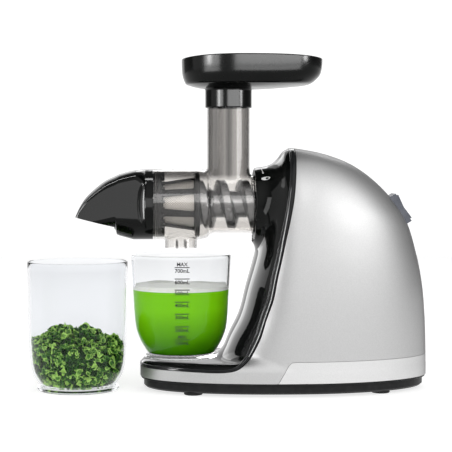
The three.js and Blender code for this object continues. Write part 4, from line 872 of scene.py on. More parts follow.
def edge_line():
    """Front edge of the silver shell in side view."""
    starts = (PLATFORM_NOSE_X - EDGE_LEAD, PLATFORM_NOSE_X, 0.0, CREST_X * EDGE_START_SHARE)
    points = [(x, BAND_TOP) for x in starts]
    points += [(CREST_X * x, HOUSING_HEIGHT * z) for x, z in EDGE_SHARES]
    points.append((points[-1][0] + EDGE_LEAN, HOUSING_HEIGHT + EDGE_OVERRUN))
    return curve_through(points, 12)


def strip_width(z):
    """Width of the trim strip at a height of the edge."""
    rise = np.clip((z - BAND_TOP) / TRIM_WIDENING, 0, 1)
    return TRIM_WIDTH * (TRIM_LOW_SHARE + (1 - TRIM_LOW_SHARE) * eased(rise))


def edge_distance(verts):
    """Signed distance in side view to the silver edge, in front of it positive, and strip width."""
    line = edge_line()
    flat = verts[:, [0, 2]]
    best = np.full(len(flat), np.inf)
    side = np.zeros(len(flat))
    height = np.zeros(len(flat))
    for a, b in zip(line[:-1], line[1:]):
        run = b - a
        share = np.clip(((flat - a) @ run) / np.linalg.norm(run) ** 2, 0, 1)
        near = a + share[:, None] * run
        gap = np.linalg.norm(flat - near, axis=1)
        closer = gap < best
        cross = run[0] * (flat[:, 1] - a[1]) - run[1] * (flat[:, 0] - a[0])
        best = np.where(closer, gap, best)
        side = np.where(closer, np.sign(cross), side)
        height = np.where(closer, near[:, 1], height)
    return best * side, strip_width(height)


def skirt_distance(verts):
    """Signed distance in side view to the rear skirt's outline, inside it positive."""
    x, z = verts[:, 0], verts[:, 2]
    lean = SKIRT_FRONT_X + SKIRT_SLANT * (z - SHELL_BOTTOM) / (SKIRT_TOP - SHELL_BOTTOM)
    tilt = math.hypot(SKIRT_SLANT, SKIRT_TOP - SHELL_BOTTOM) / (SKIRT_TOP - SHELL_BOTTOM)
    behind = (x - lean) / tilt
    below = SKIRT_TOP - z
    a = np.maximum(SKIRT_CORNER - behind, 0)
    b = np.maximum(SKIRT_CORNER - below, 0)
    corner = SKIRT_CORNER - np.hypot(a, b)
    return np.where((a > 0) & (b > 0), corner, np.minimum(behind, below))


def switch_hole(verts):
    """Positive outside the hole for the switch's bezel."""
    tilt = math.radians(SWITCH_TILT_DEGREES)
    moved = verts - np.array(SWITCH_MIDDLE)
    out = moved[:, 0] * math.cos(tilt) + moved[:, 2] * math.sin(tilt)
    up = -moved[:, 0] * math.sin(tilt) + moved[:, 2] * math.cos(tilt)
    box = np.maximum(np.abs(up) - SWITCH_HALF_HEIGHT, np.abs(moved[:, 1]) - SWITCH_HALF_WIDTH)
    return np.maximum(box, -out - SWITCH_HOLE_DEPTH)


def platform_blend(point):
    """A wide fillet before the flare, and none where the platform runs into the housing's sides."""
    share = held((CREST_X - point.x) / PLATFORM_BLEND_REACH)
    return LEAST_BLEND + (PLATFORM_BLEND - LEAST_BLEND) * eased(share)


def blended(parts, voxel, blends):
    """One skin of small even faces round closed parts, with soft joints between them."""
    verts, faces = remeshed(merged(*parts), voxel)
    return settle(verts, [Form(part) for part in parts], blends), faces


def housing_skin():
    """Upper housing, platform and neck as one skin."""
    voxel = SKIN_VOXEL * 1.0
    return blended([upper_housing(), platform(), neck()], voxel, [platform_blend, steady(NECK_BLEND)])


# Materials

class Nodes:
    """Short calls for a node tree. Nodes take their inputs in order or by name, each a value or
    another node's output."""

    def __init__(self, owner, last):
        owner.use_nodes = True
        self.owner = owner
        self.tree = owner.node_tree
        self.last = self.tree.nodes[last]

    def plug(self, socket, value):
        if isinstance(value, bpy.types.NodeSocket):
            self.tree.links.new(value, socket)
        else:
            socket.default_value = value

    def add(self, kind, *inputs, **named):
        node = self.tree.nodes.new("ShaderNode" + kind)
        for key, value in named.items():
            if hasattr(node, key):
                setattr(node, key, value)
            else:
                self.plug(node.inputs[key.replace("_", " ")], value)
        for socket, value in zip(node.inputs, inputs):
            self.plug(socket, value)
        return node.outputs

    def finish(self, **named):
        """Sets or links inputs of the last node, which gives the look. Returns the tree's owner."""
        for key, value in named.items():
            self.plug(self.last.inputs[key.replace("_", " ")], value)
        return self.owner

    def math(self, operation, *inputs):
        return self.add("Math", *inputs, operation=operation)[0]

    def place(self):
        return self.add("TexCoord")["Object"]

    def place_axes(self):
        outputs = self.add("SeparateXYZ", self.place())
        return outputs["X"], outputs["Y"], outputs["Z"]

    def noise(self, scale, detail):
        return self.add("TexNoise", Vector=self.place(), Scale=scale, Detail=detail)["Fac"]

    def between(self, value, low, high):
        """0 to 1 as a length in metres goes from one size to another in millimetres."""
        return self.add("MapRange", value, From_Min=low * MM, From_Max=high * MM)["Result"]

    def ramp(self, share, stops):
        """Colour ramp with stops that are each a share and a colour."""
        output = self.add("ValToRGB", share)["Color"]
        elements = output.node.color_ramp.elements
        while len(elements) < len(stops):
            elements.new(0.5)
        for element, (position, color) in zip(elements, stops):
            element.position = position
            element.color = (*color, 1)
        return output

    def mottled(self, colors, scale, detail=3.0):
        """Colour that drifts between two tones over the surface."""
        color = self.ramp(self.noise(scale, detail), list(zip((0.35, 0.65), colors)))
        self.finish(Base_Color=color)

    def uneven_gloss(self, low, high, scale):
        """Roughness that drifts between two levels over the surface."""
        level = self.add("MapRange", self.noise(scale, 4.0), To_Min=low, To_Max=high)["Result"]
        self.finish(Roughness=level)

    def grain(self, scale, strength, depth=0.0001, kind="TexNoise"):
        """Fine bump such as moulded plastic has."""
        outputs = self.add(kind, Vector=self.place(), Scale=scale)
        height = outputs["Fac"] if "Fac" in outputs else outputs["Distance"]
        self.finish(Normal=self.add("Bump", Strength=strength, Distance=depth, Height=height)["Normal"])


def new_material(name):
    return Nodes(bpy.data.materials.new(name), "Principled BSDF")


def surface(name, tones, scale, gloss, gloss_scale, detail=3.0, grain=None, **inputs):
    """A material with two drifting tones, a drifting roughness and maybe a grain."""
    nodes = new_material(name)
    nodes.mottled(tones, scale, detail)
    nodes.uneven_gloss(*gloss, gloss_scale)
    if grain:
        nodes.grain(*grain)
    return nodes.finish(**inputs)


def silver_paint(name, level):
    """Metallic paint with fine flakes."""
    return surface(
        name, [(level - 0.02,) * 3, (level + 0.02,) * 3], scale=900.0, detail=2.0, gloss=(0.38, 0.44),
        gloss_scale=60.0, grain=(2600.0, 0.05, 0.00005), Metallic=0.85, Specular_IOR_Level=0.25,
        Specular_Tint=(0.12, 0.12, 0.12, 1))


def gloss_black(name, *gloss):
    tones = [(0.0025, 0.003, 0.0028), (0.004, 0.0046, 0.0043)]
    return surface(name, tones, scale=40.0, gloss=gloss, gloss_scale=30.0, Specular_IOR_Level=0.13)


def satin(name, tones):
    return surface(
        name, tones, scale=120.0, gloss=(0.34, 0.46), gloss_scale=80.0, grain=(1400.0, 0.25),
        Specular_IOR_Level=0.2)


def trim_black():
    tones = [(0.014, 0.015, 0.016), (0.02, 0.021, 0.022)]
    return surface(
        "trim_black", tones, scale=90.0, gloss=(0.1, 0.16), gloss_scale=50.0, Specular_IOR_Level=0.2)


def clear_plastic(name, tones):
    return surface(
        name, tones, scale=12.0, gloss=(0.0, 0.02), gloss_scale=30.0, Transmission_Weight=1.0, IOR=1.2,
        Specular_IOR_Level=0.1)


def dark_auger():
    tones = [(0.2, 0.202, 0.21), (0.25, 0.252, 0.26)]
    return surface("dark_auger", tones, scale=30.0, gloss=(0.24, 0.32), gloss_scale=60.0, Metallic=0.6)


def metal(name, tones, *gloss):
    return surface(name, tones, scale=70.0, gloss=gloss, gloss_scale=200.0, Metallic=1.0)


def rubber():
    tones = [(0.008, 0.008, 0.008), (0.015, 0.015, 0.015)]
    return surface("rubber", tones, scale=200.0, gloss=(0.6, 0.8), gloss_scale=300.0, grain=(1800.0, 0.3))


def plain_plastic(name, tones, *gloss):
    return surface(name, tones, scale=80.0, gloss=gloss, gloss_scale=120.0, grain=(1500.0, 0.15))


def print_ink(name, tones):
    return surface(name, tones, scale=300.0, gloss=(0.45, 0.6), gloss_scale=400.0)


def painted_streaks(nodes, x, middle, radius, rows, tint):
    """Painted streaks of shade and reflection across a tube that stands up, in a tint, told by the place
    across it.
    """
    share = nodes.between(x, middle - ORIGIN_X - radius, middle - ORIGIN_X + radius)
    return nodes.ramp(share, [(at, tuple(tone * part for part in tint)) for at, tone in rows])


def smoke_clear():
    """Clear plastic with a warm grey tint, with painted streaks of refraction shade and reflection in the
    chute above and the spout below.
    """
    nodes = new_material("smoke_clear")
    x, _, z = nodes.place_axes()
    color = nodes.ramp(nodes.noise(25.0, 3.0), [(0.35, (0.79, 0.77, 0.75)), (0.65, (0.82, 0.805, 0.785))])
    # Painted refraction shade and reflection, as streaks in the spout's and the chute's colour
    spout = painted_streaks(nodes, x, 0, SPOUT_RADIUS, SPOUT_PAINTED_STREAKS, SPOUT_TINT)
    chute = painted_streaks(nodes, x, CHUTE_X, CHUTE_RADIUS, CHUTE_PAINTED_STREAKS, CHUTE_TINT)
    fall = nodes.between(z, SPOUT_PAINTED_STREAKS_START, SPOUT_PAINTED_STREAKS_FULL)
    rise = nodes.between(z, CHUTE_PAINTED_STREAKS_START, CHUTE_PAINTED_STREAKS_FULL)
    for factor, other in ((fall, spout), (rise, chute)):
        color = nodes.add("Mix", data_type="RGBA", Factor=factor, A=color, B=other)["Result"]
    nodes.uneven_gloss(0.015, 0.04, scale=40.0)
    return nodes.finish(Base_Color=color, Transmission_Weight=1.0, IOR=1.4)


def screen_mesh():
    """Fine woven steel: light wires round openings painted dark, as painted shade of what lies behind them,
    laid along the cone.
    """
    nodes = new_material("screen_mesh")
    x, y, z = nodes.place_axes()
    turn = nodes.math("ARCTAN2", nodes.math("SUBTRACT", z, AUGER_HEIGHT * MM), y)
    flat = nodes.add("CombineXYZ", x, nodes.math("MULTIPLY", turn, MESH_RADIUS * MM))["Vector"]
    slanted = nodes.add("Mapping", flat, Rotation=(0, 0, math.radians(45)))["Vector"]
    dots = nodes.add("TexVoronoi", feature="F1", Vector=slanted, Scale=520.0, Randomness=0.0)["Distance"]
    # The openings are painted dark: painted shade seen through the mesh
    color = nodes.ramp(dots, [(0.36, (0.9, 0.87, 0.83)), (0.5, (0.22, 0.21, 0.2))])
    bump = nodes.add("Bump", invert=True, Strength=0.5, Distance=0.0003, Height=dots)["Normal"]
    return nodes.finish(Base_Color=color, Normal=bump, Metallic=0.2, Roughness=0.4)


def juice_green():
    """Green juice, lighter towards its top."""
    nodes = new_material("green_juice")
    _, _, z = nodes.place_axes()
    blend = nodes.math("MULTIPLY_ADD", nodes.noise(18.0, 3.0), 0.3, nodes.between(z, *JUICE_TINT_HEIGHTS))
    color = nodes.ramp(blend, [(0.15, (0.035, 0.2, 0.001)), (0.85, (0.215, 0.65, 0.004))])
    return nodes.finish(
        Base_Color=color, Roughness=0.12, Specular_IOR_Level=0.1, Subsurface_Weight=0.35,
        Subsurface_Radius=(0.004, 0.008, 0.001), Subsurface_Scale=1.0)


def juice_foam():
    nodes = new_material("juice_foam")
    nodes.mottled([(0.9, 0.93, 0.84), (0.97, 0.98, 0.95)], scale=160.0, detail=6.0)
    nodes.grain(scale=500.0, strength=0.6, depth=0.0006, kind="TexVoronoi")
    return nodes.finish(Roughness=0.7)


def kale_green():
    """Chopped greens: each scrap's own tone, with a painted highlight on its rim and painted shade on its
    underside and in the core.
    """
    nodes = new_material("chopped_greens")
    # The tone attribute holds each scrap's own tone together with its painted highlight and painted shade
    tone = nodes.add("Attribute", attribute_name="tone")["Fac"]
    blend = nodes.math("MULTIPLY_ADD", nodes.noise(420.0, 4.0), 0.3, tone)
    dark, middle, bright = (0.006, 0.035, 0.005), (0.05, 0.2, 0.018), (0.5, 0.82, 0.17)
    color = nodes.ramp(blend, [(0.25, dark), (0.5, middle), (0.8, bright)])
    return nodes.finish(Base_Color=color, Roughness=0.4, Specular_IOR_Level=0.2)


SILVER = silver_paint("silver_paint", 0.56)
LIGHT_SILVER = silver_paint("light_silver_paint", 0.74)
BLACK = gloss_black("gloss_black", 0.03, 0.06)
TRAY_BLACK = gloss_black("tray_black", 0.16, 0.2)
SNOUT_BLACK = gloss_black("snout_black", 0.1, 0.13)
SATIN = satin("satin_black", [(0.012, 0.012, 0.013), (0.02, 0.02, 0.021)])
CAGE = satin("strainer_plastic", [(0.03, 0.031, 0.033), (0.045, 0.046, 0.049)])
SLATE = satin("slate_plastic", [(0.16, 0.17, 0.2), (0.2, 0.21, 0.24)])
TRIM = trim_black()
SMOKE = smoke_clear()
CLEAR = clear_plastic("clear_plastic", [(0.9, 0.907, 0.915), (0.92, 0.926, 0.933)])
GREY_CLEAR = clear_plastic("grey_clear_plastic", [(0.855, 0.865, 0.88), (0.88, 0.89, 0.905)])
AUGER = dark_auger()
STEEL = metal("brushed_steel", [(0.42, 0.42, 0.43), (0.55, 0.55, 0.56)], 0.25, 0.4)
BRONZE = metal("bronze", [(0.40, 0.26, 0.12), (0.5, 0.34, 0.17)], 0.35, 0.5)
COPPER = metal("copper_wire", [(0.55, 0.22, 0.1), (0.65, 0.3, 0.16)], 0.3, 0.45)
RUBBER = rubber()
NYLON = plain_plastic("nylon", [(0.72, 0.70, 0.63), (0.78, 0.76, 0.7)], 0.4, 0.55)
BOARD = plain_plastic("circuit_board", [(0.01, 0.08, 0.03), (0.02, 0.12, 0.05)], 0.4, 0.6)
SCREEN = screen_mesh()
JUICE = juice_green()
FOAM = juice_foam()
GREENS = kale_green()
DARK_INK = print_ink("scale_print", [(0.006, 0.006, 0.007), (0.012, 0.012, 0.013)])
WHITE_INK = print_ink("white_print", [(0.78, 0.78, 0.78), (0.86, 0.86, 0.86)])


# Housing

def above_joint(verts):
    return verts[:, 2] - SHELL_BOTTOM


def behind_edge(verts):
    return -edge_distance(verts)[0]


def before_strip(verts):
    distance, width = edge_distance(verts)
    return distance - width


def beside_skirt(verts):
    return -skirt_distance(verts) - SKIRT_GAP


def outside_mouth(verts):
    """Positive outside the opening in the neck's mouth."""
    off_axis = np.hypot(verts[:, 1], verts[:, 2] - AUGER_HEIGHT)
    at_mouth = (verts[:, 0] < NECK_MOUTH_X + MOUTH_CUT_REACH) & (off_axis < MOUTH_CUT_RADIUS)
    return np.where(at_mouth, verts[:, 0] - NECK_MOUTH_X - MOUTH_CUT_SETBACK, KEPT_VALUE)


def mouth_rim():
    """Rounded lip of the neck's mouth."""
    (along, radius), (bulge, half) = MOUTH_RIM_MIDDLE, MOUTH_RIM_ROUND
    rim = []
    for angle in np.linspace(0, math.pi, 13):
        rim.append((along - bulge * math.sin(angle), radius - half * math.cos(angle)))
    return lathe([(NECK_MOUTH_X + a, r) for a, r in rim + MOUTH_RIM_BACK], 144, looped=True)


def housing_pieces():
    """Silver shell, skirt panel and black panel, cut from one skin. Returns the skin's tree as well."""
    skin = housing_skin()

    def wall(depth, *keeps):
        return walled(clipped(skin, above_joint, *keeps), depth, HOUSING_MIDDLE)

    shell = wall(SHELL_WALL, behind_edge, beside_skirt, switch_hole)
    skirt = wall(SHELL_WALL, skirt_distance)
    front = merged(wall(PANEL_WALL, before_strip, outside_mouth), mouth_rim())
    tree = BVHTree.FromPolygons([Vector(v) for v in skin[0]], skin[1])
    silver = piece("silver_shell", shell, SILVER, "machine", ["side_shell"], 50)
    lighter = piece("skirt_panel", skirt, LIGHT_SILVER, "machine", ["rear_skirt"], 50)
    black = piece("black_panel", front, BLACK, "machine", ["front_panel"], 50)
    return tree, silver, lighter, black


def strip_profile(width):
    """Across the trim strip: share of its width and height over the housing."""
    groove, bead = TRIM_GROOVE / width, TRIM_BEAD / width
    rows = [(groove * share + more, height) for share, more, height in TRIM_GROOVE_ROWS]
    rows += [(share, TRIM_PROUD) for share in TRIM_CREST_SHARES]
    return rows + [(1 - bead * share - more, height) for share, more, height in TRIM_BEAD_ROWS]


def strip_ring(tree, start, across, outward, width):
    """One ring of points across the strip, found on the housing by looking outward from inside it."""
    outward = Vector(outward)
    ring = []
    for share, height in strip_profile(width):
        hit, normal, _, _ = tree.ray_cast(Vector(np.add(start, np.multiply(across, share * width))), outward)
        if hit is None:
            return []
        if normal.dot(outward) < 0:
            normal = -normal
        ring.append(hit + normal * height)
    return [ring]


def trim_strip(tree):
    """Dark strip between silver shell and black panel, all the way round nose and crest."""
    line = edge_line()
    line = line[(line[:, 0] >= 0.0) & (line[:, 1] < HOUSING_HEIGHT - TRIM_CROSSING_DEPTH)]
    rows = list(zip(line.tolist(), runs_along(line).tolist()))
    rings = []
    for step in range(-48, 48):
        angle = math.pi + math.pi / 2 * step / 48
        outward = (math.cos(angle), -math.sin(angle), 0)
        rings += strip_ring(tree, (0, 0, BAND_TOP), (0, 0, 1), outward, strip_width(BAND_TOP))

    def side(points, sign):
        out = []
        for (x, z), (run_x, run_z) in points:
            out += strip_ring(tree, (x, 0, z), (-run_z, 0, run_x), (0, sign, 0), strip_width(z))
        return out

    rings += side(rows, -1)
    top_x, top_z = rows[-1][0]
    hit = tree.ray_cast(Vector((top_x - TRIM_CROSSING_SETBACK, 0, top_z)), Vector((0, -1, 0)))[0]
    reach = abs(hit.y) * TRIM_CROSSING_SHARE
    for y in np.linspace(-reach, reach, 33):
        x = top_x + TRIM_CROSSING_BULGE * math.cos(math.pi / 2 * y / reach)
        rings += strip_ring(tree, (x, y, TRIM_CROSSING_START), (-1, 0, 0), (0, 0, 1), TRIM_WIDTH)
    return loft(rings + side(rows[::-1], 1), looped=True)


def base_tray():
    return loft([egg_ring(z, inset, PLATFORM_FORM, 224) for z, inset in BASE_RINGS])


def foot(x, y):
    return lathe(FOOT_PROFILE, 40, "Z", (x, y, 0), looped=True)


# Drum, strainer and auger

def drum_skin():
    """Wall of bell, barrel, chute and spout, open at the bell's front, the chute's top and the spout."""
    front, top, bottom = DRUM_FRONT_X - DRUM_OVERRUN, CHUTE_TOP + DRUM_OVERRUN, SPOUT_BOTTOM - DRUM_OVERRUN
    shoulder = [(BELL_END_X + along, BELL_RADIUS - fall) for along, fall in BELL_SHOULDER]
    shoulder += [(BARREL_START_X + along, BARREL_RADIUS - fall) for along, fall in BARREL_SHOULDER]
    body = [(front, 0), (front, BELL_RADIUS)]
    body += [(x, BELL_RADIUS) for x in np.linspace(DRUM_FRONT_X, BELL_END_X - SHOULDER_REACH, 12)]
    body += curve_through(shoulder, 6).tolist()
    body += [(x, BARREL_RADIUS) for x in np.linspace(BARREL_START_X + SHOULDER_REACH, NECK_MOUTH_X, 10)]
    for x in (NECK_MOUTH_X + DRUM_TAIL_START, DRUM_END_X - DRUM_TAIL_EDGE):
        body.append((x, DRUM_TAIL_RADIUS))
    body += [(DRUM_END_X, DRUM_TAIL_RADIUS - DRUM_TAIL_EDGE), (DRUM_END_X, 0)]
    chute = [(z, CHUTE_RADIUS) for z in np.linspace(CHUTE_ROOT, top, 30)]
    chute = [(CHUTE_ROOT, 0)] + chute + [(top, 0)]
    spout = [(z, SPOUT_RADIUS) for z in np.linspace(bottom, SPOUT_ROOT, 12)]
    spout = [(bottom, 0)] + spout + [(SPOUT_ROOT, 0)]
    parts = [lathe(body, 160), lathe(chute, 128, "Z", (CHUTE_X, 0, 0)), lathe(spout, 112, "Z", (0, 0, 0))]
    voxel = DRUM_VOXEL * 1.0
    verts, faces = blended(parts, voxel, [steady(DRUM_BLEND), steady(SPOUT_BLEND)])
    cuts = [verts[:, 0] - DRUM_FRONT_X, CHUTE_TOP - verts[:, 2], verts[:, 2] - SPOUT_BOTTOM]
    return walled(clip((verts, faces), np.minimum.reduce(cuts)), DRUM_WALL, (0, 0, AUGER_HEIGHT))


def cone_radius(x):
    share = (x - STRAINER_FRONT_X) / (STRAINER_REAR_X - STRAINER_FRONT_X)
    return CONE_FRONT_RADIUS + (CONE_REAR_RADIUS - CONE_FRONT_RADIUS) * share


def window_distance(x, angle):
    """Distance from the nearest window of the cage, negative in the window."""
    front, rear = STRAINER_FRONT_X + STRAINER_RING, STRAINER_REAR_X - STRAINER_RING
    pitch = 360.0 / WINDOW_COUNT
    off = abs((math.degrees(angle) + WINDOW_TURN_DEGREES + pitch / 2) % pitch - pitch / 2)
    half = WINDOW_HALF_DEGREES + WINDOW_FLARE_DEGREES * (x - front) / (rear - front)
    beside = math.radians(off - half) * cone_radius(x)
    ends = abs(x - (front + rear) / 2) - ((rear - front) / 2 - WINDOW_END_MARGIN)
    a, b = max(beside + WINDOW_CORNER, 0), max(ends + WINDOW_CORNER, 0)
    return math.hypot(a, b) - WINDOW_CORNER + min(max(beside, ends) + WINDOW_CORNER, 0)


def cage_cone():
    """The cage's cone with its windows, between the two rings."""
    sides, rows = 336, 46
    front = STRAINER_FRONT_X + STRAINER_RING - STRAINER_LAP
    rear = STRAINER_REAR_X - STRAINER_RING + STRAINER_LAP
    rings, values = [], []
    for x in np.linspace(front, rear, rows + 1):
        ring = []
        for angle, cosine, sine in directions(sides):
            ring.append((x, -cone_radius(x) * cosine, AUGER_HEIGHT + cone_radius(x) * sine))
            values.append(window_distance(x, angle))
        rings.append(ring)
    skin = clip(loft(rings, closed_ends=False), values)
    normals = skin[0] * (0, 1, 1) - (0, 0, AUGER_HEIGHT)
    return thicken(skin, CAGE_WALL, normals / np.linalg.norm(normals, axis=1)[:, None])


def strainer_frame():
    """Cage with a ring at each end and a crown of lugs behind the front one."""
    x0, x1 = STRAINER_FRONT_X, STRAINER_FRONT_X + STRAINER_RING
    x2, x3 = STRAINER_REAR_X - STRAINER_RING, STRAINER_REAR_X
    edge, fall = RIM_EDGE
    front_edge, front_fall = RIM_FRONT_EDGE
    front_ring = lathe([
        (x0, STRAINER_HOLE_RADIUS), (x0, RIM_RADIUS - front_fall), (x0 + front_edge, RIM_RADIUS),
        (x1 - edge, RIM_RADIUS), (x1, RIM_RADIUS - fall), (x1, cone_radius(x1)),
        (x0 + CONE_WALL, cone_radius(x0) - CONE_WALL), (x0 + CONE_WALL, STRAINER_HOLE_RADIUS),
    ], 144, looped=True)
    rear_ring = lathe([
        (x2, cone_radius(x2) - CONE_WALL), (x2, RIM_RADIUS - fall), (x2 + edge, RIM_RADIUS),
        (x3 - edge, RIM_RADIUS), (x3, RIM_RADIUS - fall), (x3, cone_radius(x3) - CONE_WALL),
    ], 144, looped=True)
    low, high = (RIM_RADIUS - depth for depth in LUG_DEPTHS)
    lug = block((x1 - LUG_LAP, -LUG_HALF_WIDTH, low), (x1 + LUG_LENGTH, LUG_HALF_WIDTH, high))
    return merged(cage_cone(), front_ring, rear_ring, *round_the_axis(lug, LUG_COUNT))


def strainer_screen():
    inset = CONE_WALL + SCREEN_PLAY
    rows = [(x, cone_radius(x) - inset) for x in np.linspace(STRAINER_FRONT_X + inset, STRAINER_REAR_X, 24)]
    inner = [(x, radius - SCREEN_WALL) for x, radius in reversed(rows)]
    return lathe(rows + inner, 160, looped=True)


def press_radius(x):
    """Reach of the auger inside the screen."""
    return cone_radius(x) - CONE_WALL - SCREEN_PLAY - SCREEN_WALL - SCREEN_GAP


def auger_radius(x, angle):
    """Low ridges inside the screen, then a core with high flights in the barrel."""
    turns = x / FLIGHT_PITCH - angle / (2 * math.pi)
    crest = max(0.0, 1 - abs(turns % 1 - 0.5) / FLIGHT_SHARE)
    if x <= STRAINER_REAR_X:
        return press_radius(x) - RIDGE_HEIGHT * (1 - crest)
    entry = min(1.0, (x - STRAINER_REAR_X) / (BARREL_START_X - STRAINER_REAR_X))
    core = CORE_RADIUS + (press_radius(STRAINER_REAR_X) - RIDGE_HEIGHT - CORE_RADIUS) * (1 - entry)
    return core + eased(min(1.0, crest * 2)) * (FLIGHT_RADIUS - core)


def auger_ring(x, radius=None, sides=112):
    """Ring of the auger. Where no radius is given, the screw has its own."""
    ring = []
    for angle, cosine, sine in directions(sides):
        reach = radius or auger_radius(x, angle)
        ring.append((x, reach * cosine, AUGER_HEIGHT + reach * sine))
    return ring


def auger():
    press_x = STRAINER_FRONT_X + CONE_WALL + SCREEN_GAP
    rows = [
        (TIP_X, TIP_RADIUS - TIP_EDGE), (TIP_X + TIP_EDGE, TIP_RADIUS), (TIP_X + TIP_LENGTH, TIP_RADIUS),
        (NOSE_X, NOSE_START_RADIUS), (STRAINER_FRONT_X - NOSE_SHOULDER[0], NOSE_SHOULDER[1]),
        (STRAINER_FRONT_X, NOSE_RADIUS), (press_x, NOSE_RADIUS),
    ]
    rows += [(x, None) for x in np.linspace(press_x, AUGER_END_X, 231)]
    rows += [
        (AUGER_END_X + AUGER_END_STEP, CORE_RADIUS), (AUGER_END_X + AUGER_END_STEP, COLLAR_RADIUS),
        (DRUM_END_X, COLLAR_RADIUS), (DRUM_END_X, HEX_RADIUS), (DRUM_END_X - HEX_DEPTH, HEX_RADIUS),
    ]
    return loft([auger_ring(x, radius) for x, radius in rows])


# Snout

def snout_rows():
    """Rows of the snout from its joint to its tip, closer together where its form changes fast."""
    dense = curve_through([row[:4] for row in SNOUT_SHARES], 8)
    readers = [reader(dense[:, [0, i]]) for i in (1, 2, 3)]
    readers.append(reader([(row[0], row[4]) for row in SNOUT_SHARES]))
    places = set(dense[:, 0]) | set(np.linspace(SNOUT_FLAT_START, SNOUT_FLAT_START + SNOUT_FLAT_RAMP, 6))
    places |= set(np.linspace(GRIP_START, GRIP_START + GRIP_REACH, 26))
    return [(along, *(read(along) for read in readers)) for along in sorted(places)]


def soft_least(a, b, blend):
    """The smaller of two lengths, with a rounded change between them."""
    near = max(blend - abs(a - b), 0.0)
    return min(a, b) - near * near / (4 * blend)


def grip_depth(along, z):
    """Depth of the hollow for the fingers in the snout's flat side, curved at its front."""
    lens = math.sqrt(max(0.0, 1 - (z / GRIP_HALF_HEIGHT) ** 2))
    if lens == 0 or not 0 < along - GRIP_START < GRIP_REACH * lens:
        return 0.0
    return GRIP_DEPTH * lens * math.sin(math.pi * (along - GRIP_START) / (GRIP_REACH * lens)) ** 2


def snout_ring(row, sides=240):
    """Ring of the snout: round below, squarer above, with a flat on each side."""
    along = row[0]
    x = CAP_JOINT_X + (SNOUT_TIP_X - CAP_JOINT_X) * along
    top, half, spring, bottom = (BELL_RADIUS * share for share in row[1:])
    power = 2 + (SNOUT_POWER - 2) * held((along - SNOUT_FLAT_START) / SNOUT_POWER_RAMP)
    step = held((along - SNOUT_FLAT_START) / SNOUT_FLAT_RAMP)
    flat = half * (SNOUT_FREE_SHARE + (SNOUT_FLAT_SHARE - SNOUT_FREE_SHARE) * step)
    ring = []
    for _, cosine, sine in directions(sides):
        reach, bulge = (top - spring, power) if sine > 0 else (spring - bottom, 2)
        z = spring + bulged(sine, reach, bulge)
        y = soft_least(bulged(abs(cosine), half, bulge), flat, SNOUT_EDGE_ROUND) - grip_depth(along, z)
        ring.append((x, math.copysign(max(y, 0.0), cosine), AUGER_HEIGHT + z))
    return ring


def snout_shell():
    """The snout's outer wall, cut open underneath towards its tip."""
    rows = snout_rows()
    sides = loft([snout_ring(row) for row in rows], closed_ends=False)
    _, top, width, spring, bottom = rows[-1]
    middle = (top + bottom) / 2
    tip = []
    for share in (1.0, 0.75, 0.5, 0.25):
        heights = [middle + (height - middle) * share for height in (top, spring, bottom)]
        tip.append(snout_ring((1.0, heights[0], width * share, heights[1], heights[2])))
    skin = merged(sides, loft(tip, closed_ends=False))
    x, z = skin[0][:, 0], skin[0][:, 2]
    rear_low = AUGER_HEIGHT + BELL_RADIUS * MOUTH_REAR_SHARE
    front_low = AUGER_HEIGHT + BELL_RADIUS * MOUTH_FRONT_SHARE
    line = rear_low + (front_low - rear_low) * (x - LIP_X) / (SNOUT_TIP_X - LIP_X)
    open_skin = clip(skin, np.where(x > LIP_X, KEPT_VALUE + x - LIP_X, z - line))
    return walled(weld(open_skin), CAP_WALL, SNOUT_MIDDLE)


def snout():
    inner = SPIGOT_RADIUS - CAP_WALL
    flange_x, end_x = CAP_JOINT_X - CAP_WALL, DRUM_FRONT_X + SPIGOT_REACH
    low_flange, high_flange = (BELL_RADIUS - fall for fall in SPIGOT_FLANGE)
    spigot = lathe([
        (flange_x, inner), (flange_x, low_flange), (CAP_JOINT_X, high_flange), (CAP_JOINT_X, SPIGOT_RADIUS),
        (end_x, SPIGOT_RADIUS), (end_x, inner),
    ], 144, looped=True)
    start, end = TIP_X - CAP_WALL, TIP_X - CAP_WALL + HUB_LENGTH
    edge, fall = HUB_EDGE
    hub = lathe([
        (start, HUB_BORE), (start, HUB_RADIUS - fall), (start + edge, HUB_RADIUS),
        (end - edge, HUB_RADIUS), (end, HUB_RADIUS - fall), (end, HUB_BORE),
    ], 64, looped=True)
    spoke = block((start, -SPOKE_HALF_WIDTH, SPOKE_START), (end, SPOKE_HALF_WIDTH, SPOKE_END))
    return merged(snout_shell(), spigot, hub, *round_the_axis(spoke, SPOKE_COUNT))


def weld(skin):
    """The same skin with points at one place made one."""
    mesh = bmesh_from(skin)
    bmesh.ops.remove_doubles(mesh, verts=mesh.verts, dist=WELD_REACH)
    bmesh.ops.recalc_face_normals(mesh, faces=mesh.faces)
    mesh.verts.index_update()
    verts = np.array([tuple(v.co) for v in mesh.verts])
    faces = [tuple(v.index for v in face.verts) for face in mesh.faces]
    mesh.free()
    return verts, faces


# Hopper tray

def tray_ring(share, z, inset, crown, sides=168):
    """Ring of the tray, a share of the way from its collar to its edge."""
    ring = []
    for _, cosine, sine in directions(sides):
        power = TRAY_POWERS[1] if cosine >= 0 else TRAY_POWERS[0]
        reach = TRAY_REAR_REACH - TRAY_WIDEST if cosine >= 0 else TRAY_FRONT_REACH + TRAY_WIDEST
        edge_x = TRAY_WIDEST + bulged(cosine, reach - inset, power)
        edge_y = bulged(sine, TRAY_HALF_WIDTH - inset, power)
        start = COLLAR_OUTER - inset
        x = start * cosine + (edge_x - start * cosine) * share
        y = start * sine + (edge_y - start * sine) * share
        ring.append((CHUTE_X + x, y, z + crown * (edge_y / TRAY_HALF_WIDTH) ** 2))
    return ring


def chute_ring(radius, z, sides=168):
    """Level ring round the chute's axis."""
    return [(CHUTE_X + radius * cosine, radius * sine, z) for _, cosine, sine in directions(sides)]


